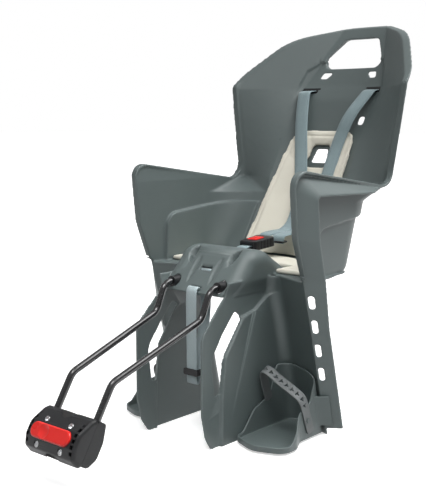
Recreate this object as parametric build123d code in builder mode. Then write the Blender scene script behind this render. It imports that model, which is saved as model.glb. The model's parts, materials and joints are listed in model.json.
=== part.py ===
"""Child bike seat that rides behind the saddle on two steel bars, with a block that grips the seat tube."""

import os
from collections import namedtuple
from math import cos, radians, sin

from build123d import *

os.makedirs("parts", exist_ok=True)

# Driving sizes, in millimetres. The child faces -Y, +X is the child's left and Z = 0 is the floor.
# Y is counted from the tips of the legs until the finished seat is centred at the end.
wall = 4.0  # moulded shell
fit = 0.3  # gap between the faces of two pieces

# Space the child sits in, level by level: the back is a shallow arc, the sides run forward.
pan_z = 292.0
hip_z = 420.0
arm_z = 450.0
crease_z = 636.0
space_top = 790.0
space_front = -80.0
side_flare = 2.0  # spread of each side wall towards the front
Level = namedtuple("Level", "z back_half back_y hollow side_x side_y corner")
levels = (
    Level(pan_z, 90.0, 296.0, 20.0, 180.0, 296.0, 36.0),
    Level(hip_z, 86.0, 376.0, 24.0, 181.0, 378.0, 90.0),
    Level(arm_z, 95.0, 391.0, 24.0, 181.0, 411.0, 14.0),
    Level(crease_z, 97.0, 508.0, 14.0, 202.0, 414.0, 10.0),
    Level(space_top, 45.0, 623.0, 4.0, 184.0, 512.0, 10.0),
)

# Side view of the rim, as (y, z).
head_top = (670.0, 784.0)
head_knee = (532.0, 745.0)
head_corner = (410.0, 641.0)
notch = (405.0, 443.0)
arm_corner = (81.0, 490.0)
arm_front = (93.0, 372.0)
arm_foot = (126.0, pan_z - wall)
rim_rounds = (0, 160, 14, 34, 28, 90, 0, 0)
lip_proud = 8.0  # lip turned outwards along the whole rim
lip_wide = 5.0

# Turned-out flange round the arm and down the leg, as (y, z) on its outer edge.
rim_x = 183.0
flange_x = 211.0
rim_bite = 1.5  # how far the calf panel runs into the flange
flange_tail = (335.0, 439.0)
flange_corner = (127.0, 444.0)
flange_front = (136.0, 360.0)
flange_foot = (154.0, pan_z)
flange_fade = 36.0  # length over which the flange runs out behind the arm
leg_knee = (150.0, 205.0)
leg_end = (200.0, 12.0)
flange_knee_y = 168.0
knee_round = 30.0
edge_round = 20.0

# Windows of the footrest rail, cut in the flange below the pan.
window_wide = 8.4
window_tall = 23.0
window_pitch = 45.0
window_top_z = 255.0
window_count = 4
window_inset = 2.8  # from the rim to the near edge of a window
small_round = 2.0  # corners of windows and slots

# Hip panel: a part of each side wall stepped towards the child, as (y, z).
hip_step = 7.5
hip_front = 160.0
hip_corner = (166.0, 384.0)
hip_rear = (400.0, 405.0)
hip_round = 30.0
hip_inner_x = 98.0

# Legs.
leg_x = 84.0  # inner panel, face towards the child's leg
leg_front_x = 91.0
leg_front_y = -31.0
leg_crease_y = 38.0
leg_heel_y = (243.0, 198.0, 172.0)  # corner behind the calf at the floor, the knee and the pan
leg_heel_radius = 20.0
leg_crease_radius = 30.0
leg_lip = (46.0, 266.0)
leg_brow_z = 203.0
leg_shin_z = 68.0
leg_toe = (-19.0, 24.0)
leg_view_rounds = (0, 30, 40, 10, 8, 0, 0, 0)
leg_slot = ((72.0, 236.0), (88.0, 224.0), (38.0, 158.0), (28.0, 93.0), (12.0, 93.0), (1.0, 158.0))
leg_slot_rounds = (6, 6, 30, 7, 7, 30)

# Hump between the thighs, as (y, z).
hump_half = 86.0
hump_rear = (228.0, pan_z)
hump_crest_rear = (158.0, 336.0)
hump_crest_front = (114.0, 339.0)
hump_lip = (44.0, 262.0)
hump_shoulder = 24.0
hump_rounds = (0, 45, 40, 0, 0)
groove_deep = 2.0
groove_x = 26.0
groove_size = (12.0, 60.0)
hump_slot_y = (53.0, 84.0, 178.0)  # safety strap, its far end, crotch strap
slot_room = 2.0  # slots in the hump are wider than their straps

# Carrying handle, as (half width, z) of the opening.
grip_low = (80.0, 682.0)
grip_high = (42.0, 743.0)
grip_corner = 15.0
grip_lip = 15.0

# Slots in the back, as (x, z).
leaf_slot = (56.0, 667.0)
leaf_half = 13.0
leaf_tall = 12.0
leaf_tip = 4.0  # taper at the outer top corner
leaf_root = 11.0  # taper at the inner bottom corner
strap_slot = (80.0, 631.0)
hex_hole = (77.0, 568.0)
strap_slot_tall = 7.0
strap_slot_wide = 36.0
hex_size = 16.0
hex_corner = 5.0

# Pads.
pad_thick = 10.0
pad_top = (76.0, 548.0)
pad_foot_half = 97.0
pad_round = 30.0
pad_edge_round = 3.0
pad_window_z = (482.0, 509.0)
pad_window_half = (18.0, 13.0)
pad_window_round = 3.0
pad_border = 8.0
pad_front_y = 174.0
pad_gap = 1.0  # from the seat pad to the walls round it

# Harness.
web_thick = 1.6
shoulder_web = 30.0
strap_mid_x = 30.0  # middle of the strap at chest height
strap_side = ((520.0, 633.0), (497.0, 630.5), (447.0, 550.0), (406.0, 470.0), (276.0, 343.0), (276.0, 330.0))
strap_rounds = (4, 60, 60, 4)
strap_play = 1.0  # beside the strap in the slot of the tongue
buckle_size = (44.0, 64.0, 18.0)
buckle_mid = (230.0, 335.0)
buckle_tilt = 5.0
buckle_round = 9.0
buckle_edge = 3.0
buckle_web_slot = (28.0, 14.0, 4.0)
buckle_press = 3.0
buckle_button_size = (20.0, 26.0)
buckle_button_y = -2.0
buckle_button_low = 4.0  # underside of the button, above the middle of the buckle
buckle_button_proud = 2.0
buckle_button_edge = 1.5
tongue_thick = 3.0
tongue_stem = 27.0
tongue_depth = 24.0
tongue_z = -4.5
tongue_slot_x = 16.0
tongue_slot_y = 47.0
tongue_slot_wide = 28.0
tongue_slot_tall = 5.0
tongue_head = 16.0
tongue_margin = 4.0
tongue_round = 4.0
strap_bar_thick = 5.0
strap_bar_over = 5.0  # how far the bar reaches past its slot at each end
strap_bar_lap = 3.0  # and above and below it
safety_web = 25.0
safety_end_z = 97.0
lock_z = 118.0
lock_deep = 24.0
lock_tall = 12.0
lock_rim = 3.5
lock_round = 3.0
lock_bar = 2.4
lock_ahead = 5.0  # from the strap forward to the front of the lock
safety_loop = 6.0  # between the two runs of the strap at its end
safety_tuck = 4.0  # how far the strap starts inside the hump
safety_rise = 42.0  # and where its far run ends, above the lip
safety_bow = 13.5  # height of the strap over the lip of the hump
safety_stand = 2.7  # from the lip forward to the strap
safety_rounds = (2.2, 3, 2.8, 2.8, 60)
crotch_tuck = 28.0  # end of the crotch strap, below the crest
crotch_reach = 4.0  # run of the crotch strap inside the buckle

# Carrier bars and the block on the seat tube.
bar_radius = 6.0
bar_x = 55.0
bar_block_x = 48.0
bar_z = 278.0
bar_tail_y = 276.0
bar_bend = (54.0, 8.0, 227.0)
bar_top_y = 31.0
bar_entry = (-229.0, 106.0)
bar_run = 62.0  # straight length above the block
bar_bend_radius = 26.0
bar_foot_z = -27.0
notch_deep = 3.0
bush_radius = 9.7
bush_y = 62.0
bush_long = 26.0
clamp_y = 254.0
clamp_long = 36.0
cradle_wide = 20.0
plate_thick = 3.0
plate_round = 5.0
boss_x = 28.0
boss_radius = 7.0
block_lean = 32.0
block_half_x = 60.0
block_half_tall = 39.0
tube_radius = 17.0
liner_thick = 1.8
tube_ahead = 4.0  # tube axis in front of the bars
casing_front = 31.0
casing_brow = 15.0  # how far the slope of the casing stands out at its top
casing_chin = 23.0  # and at its foot
casing_lip = 5.0
casing_slope = 6.0
casing_belly = (-15.0, 7.0)  # height of the most forward part
casing_rounds = (0, 0, 3, 8, 24, 14, 8, 3)
casing_edge = 7.0
pocket_x = 52.5
pocket_size = (6.0, 6.0)
pocket_floor = 20.0
pocket_pitch = 9.5
pocket_count = 6
jaw_back = 25.0
jaw_foot = 4.0  # the jaw stops this far above the foot of the casing
jaw_crown = (9.0, 28.0)
jaw_heel = (12.0, 18.0)
jaw_rounds = (0, 0, 5, 30, 16, 10)
jaw_edge = 3.0
split_y = -3.0
screw_at = ((28.5, 15.5), (28.5, -26.0))
screw_radius = 3.0
screw_head = 5.2
socket_floor = 1.0
button_size = (92.0, 26.0)
button_z = -5.0
button_press = 4.0
button_back = 26.5
button_proud = 4.0
button_edge = 3.0
scoop_x = -14.0
scoop_radius = 24.0
scoop_deep = 3.2
screw_seat = 21.0
nut_seat = 13.0
nut_radius = 5.5
nut_thick = 4.0
liner_inset = 1.0
latch_thick = 4.0
latch_web = 2.0
latch_stem = 5.0

# Footrests.
rest_wall = 3.0
rest_in_x = 88.0
rest_out_x = 180.0
rest_bulge_x = 198.0
rest_low_z = 4.0
rest_high_z = 121.0
rest_front_y = 38.0
rest_gap = 3.3  # to the calf panel
rest_toe_x = 54.0  # the toe, from the inner wall
rest_shoulder = 22.0  # the walls start this far behind the toe
rest_bulge_y = 58.0
rest_waist_y = 92.0
rest_rounds = (22, 22, 40, 28, 26, 26, 8)
rest_rim_z = (15.0, 52.0, 68.0)  # rim of the scoop: toe, instep and ankle
rest_rim_y = (42.0, 74.0, 120.0, 140.0)
rest_rim_rounds = (0, 0, 15, 30, 25, 12, 0, 0)
foot_web = 20.0
foot_web_thick = 2.5
foot_web_y = 149.0
foot_web_in = ((2.5, 58.0), (2.5, 112.0), (14.0, 127.0), (46.0, 103.0))  # loop, from the inner wall
foot_web_out_z = (82.0, 10.0)  # run down the outer wall
foot_web_rounds = (6, 6, 30, 6)
tee_pitch = 10.0
tee_count = 5
tee_bar = (3.0, 9.0)
tee_stem = (4.0, 3.0)
tee_start = 28.0
stud_z = 40.0
stud_radius = 2.5
stud_cap = 2.0
shoe_z = 20.0
shoe_long = 60.0
shoe_thick = 3.0
shoe_reach = 14.0
shoe_root = 12.0


def space(grow: float) -> list[Sketch]:
    """Levels of the child's space, grown or shrunk sideways."""
    sections = []
    for level in levels:
        side = level.side_x + side_flare
        with BuildSketch(Plane.XY.offset(level.z)) as section:
            with BuildLine():
                ThreePointArc(
                    (-level.back_half, level.back_y),
                    (0, level.back_y + level.hollow),
                    (level.back_half, level.back_y),
                )
                FilletPolyline(
                    (level.back_half, level.back_y),
                    (level.side_x, level.side_y),
                    (side, space_front),
                    (-side, space_front),
                    (-level.side_x, level.side_y),
                    (-level.back_half, level.back_y),
                    radius=[level.corner, wall, wall, level.corner],
                )
            make_face()
            if grow:
                offset(amount=grow, kind=Kind.INTERSECTION)
        sections.append(section.sketch)
    return sections


def outline(plane: Plane, points: list, radius, grow: float = 0.0) -> Sketch:
    """Closed outline with rounded corners, grown or shrunk if asked."""
    with BuildSketch(plane) as drawn:
        with BuildLine():
            FilletPolyline(*points, radius=radius, close=True)
        make_face()
        if grow:
            offset(amount=grow, kind=Kind.INTERSECTION)
    return drawn.sketch


def band(plane: Plane, points: list, radius, thick: float) -> Sketch:
    """Edge view of a strip laid along a bent line, on the line's left side."""
    with BuildSketch(plane) as drawn:
        with BuildLine():
            FilletPolyline(*points, radius=radius)
            offset(amount=thick, side=Side.LEFT)
        make_face()
    return drawn.sketch


def mixed(low: float, high: float, share: float) -> float:
    """Value a share of the way from low to high."""
    return low + (high - low) * share


def leg_edge_y(z: float) -> float:
    """Where the calf panel meets the rim of the leg, below the knee."""
    return mixed(leg_end[0], leg_knee[0], (z - leg_end[1]) / (leg_knee[1] - leg_end[1]))


def calf_y(x: float, z: float) -> float:
    """Face of the calf panel towards the child's leg, below the knee."""
    heel = mixed(leg_heel_y[0], leg_heel_y[1], z / leg_knee[1])
    return mixed(heel, leg_edge_y(z) + rim_bite, (x - leg_x) / (rim_x + rim_bite - leg_x))


def leg_section(z: float, heel_y: float, edge_y: float) -> Sketch:
    """Plan of one leg's wall at a height."""
    return band(
        Plane.XY.offset(z),
        [
            (leg_front_x, leg_front_y - wall),
            (leg_x, leg_crease_y),
            (leg_x, heel_y),
            (rim_x + rim_bite, edge_y + rim_bite),
        ],
        [leg_crease_radius, leg_heel_radius],
        wall,
    )


def flange_faces(inset: float) -> list[Sketch]:
    """Side views of the flange at the rim and at its outer edge."""
    far_y = head_top[0]
    foot_z = leg_end[1] - 3 * inset
    foot_y = leg_edge_y(foot_z)
    rim = outline(
        Plane.YZ.offset(rim_x),
        [
            notch,
            arm_corner,
            arm_front,
            (arm_foot[0], pan_z),
            leg_knee,
            (foot_y, foot_z),
            (far_y, foot_z),
            (far_y, notch[1]),
        ],
        [0, rim_rounds[4], knee_round, knee_round, knee_round, 0, 0, 0],
        -inset,
    )
    edge = outline(
        Plane.YZ.offset(flange_x),
        [
            flange_tail,
            flange_corner,
            flange_front,
            flange_foot,
            (flange_knee_y, leg_knee[1]),
            (foot_y + flange_knee_y - leg_knee[0], foot_z),
            (far_y, foot_z),
            (far_y, flange_tail[1]),
        ],
        [0, edge_round / 2, edge_round, edge_round, edge_round, 0, 0, 0],
        -inset,
    )
    return [rim, edge]


def hip_view(grow: float) -> Sketch:
    """Side view of the hip panel."""
    return outline(
        Plane.YZ,
        [
            (hip_front - grow, pan_z - wall),
            (hip_corner[0] - grow, hip_corner[1] + grow),
            (hip_rear[0] + grow, hip_rear[1] + grow),
            (hip_rear[0] + grow, pan_z - wall),
        ],
        [0, hip_round, 0, 0],
    )


def upright(at: tuple, wide: float, tall: float, corner: float = small_round) -> Sketch:
    """Rounded rectangle in the front view."""
    with BuildSketch(Plane.XZ) as drawn:
        with Locations(at):
            RectangleRounded(wide, tall, corner)
    return drawn.sketch


def window_points(grow: float) -> list:
    """Corners of the opening through the back pad, as (x, z)."""
    low, high = pad_window_z
    half_low, half_high = pad_window_half
    return [
        (-half_low - grow, low - grow),
        (half_low + grow, low - grow),
        (half_high + grow, high + grow),
        (-half_high - grow, high + grow),
    ]


def rim_outline(grow: float, drop: float) -> Sketch:
    """Side view of what lies behind the rim, with its foot lowered if asked."""
    foot_z = arm_foot[1] - drop
    points = [
        head_top,
        head_knee,
        head_corner,
        notch,
        arm_corner,
        arm_front,
        (arm_foot[0], foot_z),
        (head_top[0], foot_z),
    ]
    return outline(Plane.YZ, points, rim_rounds, grow)


hump_face = Plane(
    origin=(0, (hump_crest_front[0] + hump_lip[0]) / 2, (hump_crest_front[1] + hump_lip[1]) / 2),
    x_dir=(1, 0, 0),
    z_dir=(0, hump_lip[1] - hump_crest_front[1], hump_crest_front[0] - hump_lip[0]),
)
plate_top = bar_z - bar_radius - fit
grip_points = [(-grip_low[0], grip_low[1]), grip_low, grip_high, (-grip_high[0], grip_high[1])]

# Lip round the carrying handle.
with BuildPart() as handle_lip:
    extrude(outline(Plane.XZ, grip_points, grip_corner, wall), amount=-head_top[0])
    loft(space(grip_lip), ruled=True, mode=Mode.INTERSECT)

# Lip turned outwards along the rim of the head, the wings and the arms.
with BuildPart() as rim_lip:
    extrude(rim_outline(0, 0), amount=2 * flange_x, both=True)
    extrude(rim_outline(-lip_wide, 3 * lip_wide), amount=2 * flange_x, both=True, mode=Mode.SUBTRACT)
    loft(space(wall + lip_proud), ruled=True, mode=Mode.INTERSECT)

# Hump, open underneath and behind.
with BuildPart() as hump:
    hump_view = [hump_rear, hump_crest_rear, hump_crest_front, hump_lip, (hump_rear[0], hump_lip[1])]
    extrude(outline(Plane.YZ, hump_view, hump_rounds), amount=hump_half, both=True)
    side_edges = hump.faces().filter_by(Axis.X).edges()
    fillet(side_edges.filter_by_position(Axis.Z, pan_z - 2 * wall, 2 * pan_z), radius=hump_shoulder)
    under = hump.faces().sort_by(Axis.Z)[0]
    behind = hump.faces().filter_by(Axis.Y).sort_by(Axis.Y)[-1]
    offset(amount=-wall, openings=[under, behind])

# Both legs.
with BuildPart() as leg_walls:
    loft(
        [
            leg_section(0, leg_heel_y[0], leg_edge_y(0)),
            leg_section(leg_knee[1], leg_heel_y[1], leg_knee[0]),
            leg_section(pan_z - wall / 2, leg_heel_y[2], arm_foot[0]),
        ],
        ruled=True,
    )
    leg_view = [
        leg_lip,
        (leg_front_y, leg_brow_z),
        (leg_front_y, leg_shin_z),
        leg_toe,
        (0, 0),
        (head_top[0], 0),
        (head_top[0], pan_z),
        (leg_lip[0], pan_z),
    ]
    extrude(outline(Plane.YZ, leg_view, leg_view_rounds), amount=flange_x, mode=Mode.INTERSECT)
    slot_reach = leg_front_x + 2 * wall
    extrude(outline(Plane.YZ, leg_slot, leg_slot_rounds), amount=slot_reach, mode=Mode.SUBTRACT)
    mirror(about=Plane.YZ)

# Flange round both arms and down both legs, with the windows of the footrest rail.
with BuildPart() as flange:
    loft(flange_faces(0), ruled=True)
    loft(flange_faces(wall), ruled=True, mode=Mode.SUBTRACT)
    behind_arm = [
        (rim_x - wall, notch[0] - 2 * wall),
        (flange_x + wall, flange_tail[0] - flange_fade),
        (flange_x + wall, head_top[0] + wall),
        (rim_x - wall, head_top[0] + wall),
    ]
    extrude(outline(Plane.XY, behind_arm, 0), amount=2 * arm_z, mode=Mode.SUBTRACT)
    for number in range(window_count):
        z = window_top_z - number * window_pitch
        with BuildSketch(Plane.XZ):
            with Locations((rim_x + window_inset + window_wide / 2, z)):
                RectangleRounded(window_wide, window_tall, small_round)
        extrude(amount=-head_top[0], mode=Mode.SUBTRACT)
    mirror(about=Plane.YZ)

# One hip panel on each side: the step inside, and the hollow it leaves outside.
with BuildPart() as hip_steps:
    extrude(hip_view(0), amount=flange_x, both=True)
    loft(space(0), ruled=True, mode=Mode.INTERSECT)
    loft(space(-hip_step), ruled=True, mode=Mode.SUBTRACT)
    Box(2 * hip_inner_x, 2 * head_top[0], 4 * arm_z, mode=Mode.SUBTRACT)

with BuildPart() as hip_hollows:
    extrude(hip_view(-wall), amount=flange_x, both=True)
    loft(space(2 * wall), ruled=True, mode=Mode.INTERSECT)
    loft(space(wall - hip_step), ruled=True, mode=Mode.SUBTRACT)
    Box(2 * (hip_inner_x + wall), 2 * head_top[0], 4 * arm_z, mode=Mode.SUBTRACT)

with BuildPart() as seat_shell:
    loft(space(wall), ruled=True)
    extrude(space(wall)[0], amount=-wall)
    add(handle_lip.part)
    add(rim_lip.part)
    loft(space(0), ruled=True, mode=Mode.SUBTRACT)
    extrude(rim_outline(0, 0), amount=2 * flange_x, both=True, mode=Mode.INTERSECT)
    # Hip panels.
    add(hip_steps.part)
    add(hip_hollows.part, mode=Mode.SUBTRACT)
    # The pan is open in front of the calf panels and over the hump.
    thigh = [
        (leg_x, arm_foot[0] - 2 * wall),
        (leg_x, leg_heel_y[2]),
        (rim_x + wall, arm_foot[0]),
        (rim_x + wall, arm_foot[0] - 2 * wall),
    ]
    for sign in (1, -1):
        points = [(sign * x, y) for x, y in thigh]
        extrude(outline(Plane.XY.offset(pan_z - 2 * wall), points, 0), amount=3 * wall, mode=Mode.SUBTRACT)
    with Locations((0, 0, pan_z - 2 * wall)):
        Box(
            2 * (hump_half - wall),
            2 * (hump_rear[0] - wall),
            3 * wall,
            align=(Align.CENTER, Align.CENTER, Align.MIN),
            mode=Mode.SUBTRACT,
        )
    add(hump.part)
    add(leg_walls.part)
    add(flange.part)
    # Carrying handle and the openings in the back.
    back_cuts = [outline(Plane.XZ, grip_points, grip_corner)]
    for sign in (1, -1):
        leaf = [
            (sign * (leaf_slot[0] - leaf_half), leaf_slot[1] + leaf_tall / 2),
            (sign * (leaf_slot[0] + leaf_half - leaf_tip), leaf_slot[1] + leaf_tall / 2),
            (sign * (leaf_slot[0] + leaf_half), leaf_slot[1] - leaf_tall / 2),
            (sign * (leaf_slot[0] - leaf_half + leaf_root), leaf_slot[1] - leaf_tall / 2),
        ]
        back_cuts.append(outline(Plane.XZ, leaf, small_round))
        back_cuts.append(upright((sign * strap_slot[0], strap_slot[1]), strap_slot_wide, strap_slot_tall))
        back_cuts.append(upright((sign * hex_hole[0], hex_hole[1]), hex_size, hex_size, hex_corner))
    back_cuts.append(outline(Plane.XZ, window_points(0), pad_window_round))
    for cut in back_cuts:
        extrude(cut, amount=-head_top[0], mode=Mode.SUBTRACT)
    # Slots for the crotch strap and the safety strap, holes for the bars and their bushes.
    slot_wide = safety_web + slot_room
    slot_deep = hump_crest_front[1] - hump_lip[1] + hump_shoulder
    with Locations((0, hump_slot_y[0], hump_lip[1])):
        Box(slot_wide, strap_slot_tall, slot_deep, mode=Mode.SUBTRACT)
    with Locations(*[(0, y, hump_crest_front[1]) for y in hump_slot_y[1:]]):
        Box(slot_wide, strap_slot_tall, 2 * slot_deep, mode=Mode.SUBTRACT)
    with Locations(*[Location((sign * bar_x, hump_lip[0], bar_z), (90, 0, 0)) for sign in (1, -1)]):
        Cylinder(bush_radius + fit, 3 * hump_shoulder, mode=Mode.SUBTRACT)
    # Lens-shaped hollows in the front of the hump.
    for sign in (1, -1):
        with BuildSketch(hump_face):
            with Locations((sign * groove_x, 0)):
                Ellipse(groove_size[0] / 2, groove_size[1] / 2)
        extrude(amount=-groove_deep, mode=Mode.SUBTRACT)
    # Cradles for the bars and bosses for the clamp screws, under the pan.
    with Locations(*[Location((sign * bar_x, clamp_y, pan_z - wall / 2)) for sign in (1, -1)]):
        Box(
            cradle_wide,
            clamp_long,
            pan_z - wall / 2 - bar_z,
            align=(Align.CENTER, Align.CENTER, Align.MAX),
        )
    with Locations(*[Location((sign * bar_x, clamp_y, bar_z), (90, 0, 0)) for sign in (1, -1)]):
        Cylinder(bar_radius + fit, 2 * clamp_long, mode=Mode.SUBTRACT)
    with Locations(*[Location((sign * boss_x, clamp_y, plate_top)) for sign in (1, -1)]):
        Cylinder(boss_radius, pan_z - wall / 2 - plate_top, align=(Align.CENTER, Align.CENTER, Align.MIN))
        Cylinder(
            screw_radius + fit,
            pan_z - 2 * wall - plate_top,
            align=(Align.CENTER, Align.CENTER, Align.MIN),
            mode=Mode.SUBTRACT,
        )

# Pads.
with BuildPart() as back_pad:
    pad_low = pan_z + pad_thick + 2 * fit
    pad_view = [(-pad_foot_half, pad_low), (pad_foot_half, pad_low), pad_top, (-pad_top[0], pad_top[1])]
    extrude(outline(Plane.XZ, pad_view, [0, 0, pad_round, pad_round]), amount=-head_top[0])
    loft(space(-fit), ruled=True, mode=Mode.INTERSECT)
    loft(space(-fit - pad_thick), ruled=True, mode=Mode.SUBTRACT)
    pad_hole = outline(Plane.XZ, window_points(pad_border), pad_window_round)
    extrude(pad_hole, amount=-head_top[0], mode=Mode.SUBTRACT)

with BuildPart() as seat_pad:
    extrude(space(-hip_step - pad_gap)[0].moved(Location((0, 0, fit))), amount=pad_thick)
    ahead = (Align.CENTER, Align.MAX, Align.CENTER)
    with Locations((0, pad_front_y, pan_z)):
        Box(2 * rim_x, 2 * head_top[0], 4 * pad_thick, align=ahead, mode=Mode.SUBTRACT)
    with Locations((0, hump_rear[0] + pad_gap, pan_z)):
        Box(2 * (hump_half + pad_gap), 2 * head_top[0], 4 * pad_thick, align=ahead, mode=Mode.SUBTRACT)
    fillet(seat_pad.faces().sort_by(Axis.Z)[-1].edges(), radius=pad_edge_round)

# Harness. Each shoulder strap is its side view and its front view in one.
with BuildPart() as shoulder_strap_left:
    extrude(band(Plane.YZ, strap_side, strap_rounds, web_thick), amount=rim_x)
    half = shoulder_web / 2
    low_half = tongue_slot_wide / 2 - strap_play
    strap_front = [
        (strap_slot[0] - half, strap_side[0][1] + half),
        (strap_slot[0] + half, strap_side[0][1] + half),
        (strap_slot[0] + half, strap_side[1][1]),
        (strap_mid_x + half, strap_side[3][1]),
        (tongue_slot_x + low_half, strap_side[4][1]),
        (tongue_slot_x + low_half, 0),
        (tongue_slot_x - low_half, 0),
        (tongue_slot_x - low_half, strap_side[4][1]),
        (strap_mid_x - half, strap_side[3][1]),
        (strap_slot[0] - half, strap_side[1][1]),
    ]
    extrude(outline(Plane.XZ, strap_front, 0), amount=-head_top[0], mode=Mode.INTERSECT)
    loft(space(wall), ruled=True, mode=Mode.INTERSECT)

with BuildPart() as shoulder_strap_right:
    mirror(shoulder_strap_left.part, about=Plane.YZ)

with BuildPart() as strap_bar_left:
    bar_wide = strap_slot_wide + 2 * strap_bar_over
    extrude(upright(strap_slot, bar_wide, strap_slot_tall + 2 * strap_bar_lap), amount=-head_top[0])
    loft(space(wall + fit + strap_bar_thick), ruled=True, mode=Mode.INTERSECT)
    loft(space(wall + fit), ruled=True, mode=Mode.SUBTRACT)

with BuildPart() as strap_bar_right:
    mirror(strap_bar_left.part, about=Plane.YZ)

buckle = Plane(
    origin=(0, *buckle_mid),
    x_dir=(1, 0, 0),
    z_dir=(0, -sin(radians(buckle_tilt)), cos(radians(buckle_tilt))),
)
buckle_front = buckle.from_local_coords((0, -buckle_size[1] / 2, 0))
with BuildPart() as crotch_strap:
    crotch_y = hump_slot_y[2]
    crotch_side = [
        (crotch_y + strap_slot_tall / 2 - 2 * fit, hump_crest_front[1] - crotch_tuck),
        (crotch_y + strap_slot_tall / 2 - 2 * fit, buckle_front.Z - web_thick),
        (buckle_front.Y + crotch_reach, buckle_front.Z - web_thick / 2 + fit / 2),
    ]
    extrude(band(Plane.YZ, crotch_side, lock_bar, web_thick), amount=safety_web / 2, both=True)

with BuildPart() as buckle_housing:
    with Locations(buckle):
        Box(*buckle_size)
    upright_edges = buckle_housing.edges().filter_by(Axis(buckle.origin, buckle.z_dir))
    fillet(upright_edges, buckle_round)
    fillet(buckle_housing.faces().sort_by(Axis.Z)[-1].edges(), buckle_edge)
    with Locations(buckle.offset(buckle_button_low - buckle_press - fit)):
        with Locations((0, buckle_button_y)):
            Box(
                buckle_button_size[0] + 2 * fit,
                buckle_button_size[1] + 2 * fit,
                buckle_size[2],
                align=(Align.CENTER, Align.CENTER, Align.MIN),
                mode=Mode.SUBTRACT,
            )
    with Locations(buckle.offset(tongue_z)):
        with Locations((0, buckle_size[1] / 2)):
            Box(tongue_stem + 2 * fit, 2 * (tongue_depth + fit), tongue_thick + 2 * fit, mode=Mode.SUBTRACT)
    with Locations(buckle):
        with Locations((0, -buckle_size[1] / 2)):
            Box(*buckle_web_slot, mode=Mode.SUBTRACT)

with BuildPart() as buckle_button:
    with BuildSketch(buckle.offset(buckle_button_low)):
        with Locations((0, buckle_button_y)):
            Rectangle(*buckle_button_size)
    extrude(amount=buckle_size[2] / 2 + buckle_button_proud - buckle_button_low)
    fillet(buckle_button.faces().sort_by(Axis.Z)[-1].edges(), buckle_button_edge)

with BuildPart() as buckle_tongue:
    with BuildSketch(buckle.offset(tongue_z - tongue_thick / 2)):
        with Locations((0, buckle_size[1] / 2 - tongue_depth)):
            Rectangle(tongue_stem, 2 * tongue_depth, align=(Align.CENTER, Align.MIN))
        with Locations((0, tongue_slot_y)):
            head_wide = 2 * (tongue_slot_x + tongue_margin) + tongue_slot_wide
            RectangleRounded(head_wide, tongue_head, tongue_round)
        with Locations((tongue_slot_x, tongue_slot_y), (-tongue_slot_x, tongue_slot_y)):
            RectangleRounded(tongue_slot_wide, tongue_slot_tall, small_round, mode=Mode.SUBTRACT)
    extrude(amount=tongue_thick)

with BuildPart() as safety_strap:
    slot_y, far_slot_y, _ = hump_slot_y
    lip_y, lip_z = hump_lip
    safety_side = [
        (slot_y + safety_tuck, lip_z - safety_tuck),
        (slot_y - 2 * fit, lip_z + safety_bow),
        (lip_y - safety_stand, lip_z - safety_tuck / 2),
        (lip_y, safety_end_z),
        (lip_y + safety_loop, safety_end_z),
        (far_slot_y - safety_tuck, leg_brow_z),
        (far_slot_y, lip_z + safety_rise),
    ]
    extrude(band(Plane.YZ, safety_side, safety_rounds, web_thick), amount=safety_web / 2, both=True)

with BuildPart() as ladder_lock:
    lock_wide = safety_web + slot_room
    with Locations((0, lip_y + lock_deep / 2 - lock_ahead, lock_z)):
        Box(lock_wide + 2 * lock_rim, lock_deep, lock_tall)
        fillet(ladder_lock.edges().filter_by(Axis.Y), lock_round)
        Box(lock_wide, lock_deep - 2 * lock_bar, 2 * lock_tall, mode=Mode.SUBTRACT)
        Box(lock_wide + lock_rim, lock_bar, lock_tall / 2)

# Carrier bars: up out of the block, forward over the wheel and back under the pan.
lean = radians(block_lean)
block_up = Vector(0, sin(lean), cos(lean))
block_ahead = Vector(0, -cos(lean), sin(lean))
block = Plane(
    origin=Vector(0, *bar_entry) + block_ahead * tube_ahead - block_up * block_half_tall,
    x_dir=(1, 0, 0),
    z_dir=block_up,
)
block_side = Plane(origin=block.origin, x_dir=block.y_dir, z_dir=(1, 0, 0))
block_face = Plane(origin=block.origin, x_dir=(1, 0, 0), z_dir=block_ahead)

with BuildPart() as carrier_bar_left:
    bar_foot = block.from_local_coords((bar_block_x, tube_ahead, bar_foot_z))
    bar_low = Vector(bar_block_x, *bar_entry) + block_up * bar_run
    with BuildLine():
        FilletPolyline(
            bar_foot,
            bar_low,
            bar_bend,
            (bar_x, bar_top_y, bar_z),
            (bar_x, bar_tail_y, bar_z),
            radius=bar_bend_radius,
        )
    with BuildSketch(Plane(origin=bar_foot, z_dir=block_up)):
        Circle(bar_radius)
    sweep()
    with Locations(block):
        with Locations((bar_block_x, tube_ahead + bar_radius, button_z)):
            Box(3 * bar_radius, 2 * notch_deep, latch_thick + 4 * fit, mode=Mode.SUBTRACT)

with BuildPart() as carrier_bar_right:
    mirror(carrier_bar_left.part, about=Plane.YZ)

with BuildPart() as bar_bush_left:
    with Locations(Location((bar_x, bush_y, bar_z), (90, 0, 0))):
        Cylinder(bush_radius, bush_long)
        Cylinder(bar_radius + fit, bush_long, mode=Mode.SUBTRACT)

with BuildPart() as bar_bush_right:
    mirror(bar_bush_left.part, about=Plane.YZ)

with BuildPart() as clamp_plate:
    with BuildSketch(Plane.XY.offset(plate_top - plate_thick)):
        with Locations((0, clamp_y)):
            RectangleRounded(2 * bar_x + cradle_wide, clamp_long, plate_round)
        with Locations((boss_x, clamp_y), (-boss_x, clamp_y)):
            Circle(screw_radius + fit, mode=Mode.SUBTRACT)
    extrude(amount=plate_thick)

with BuildPart() as clamp_screws:
    with Locations((boss_x, clamp_y, plate_top - plate_thick), (-boss_x, clamp_y, plate_top - plate_thick)):
        Cylinder(screw_head, wall, align=(Align.CENTER, Align.CENTER, Align.MAX))
        Cylinder(screw_radius, 3 * wall, align=(Align.CENTER, Align.CENTER, Align.MIN))

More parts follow.
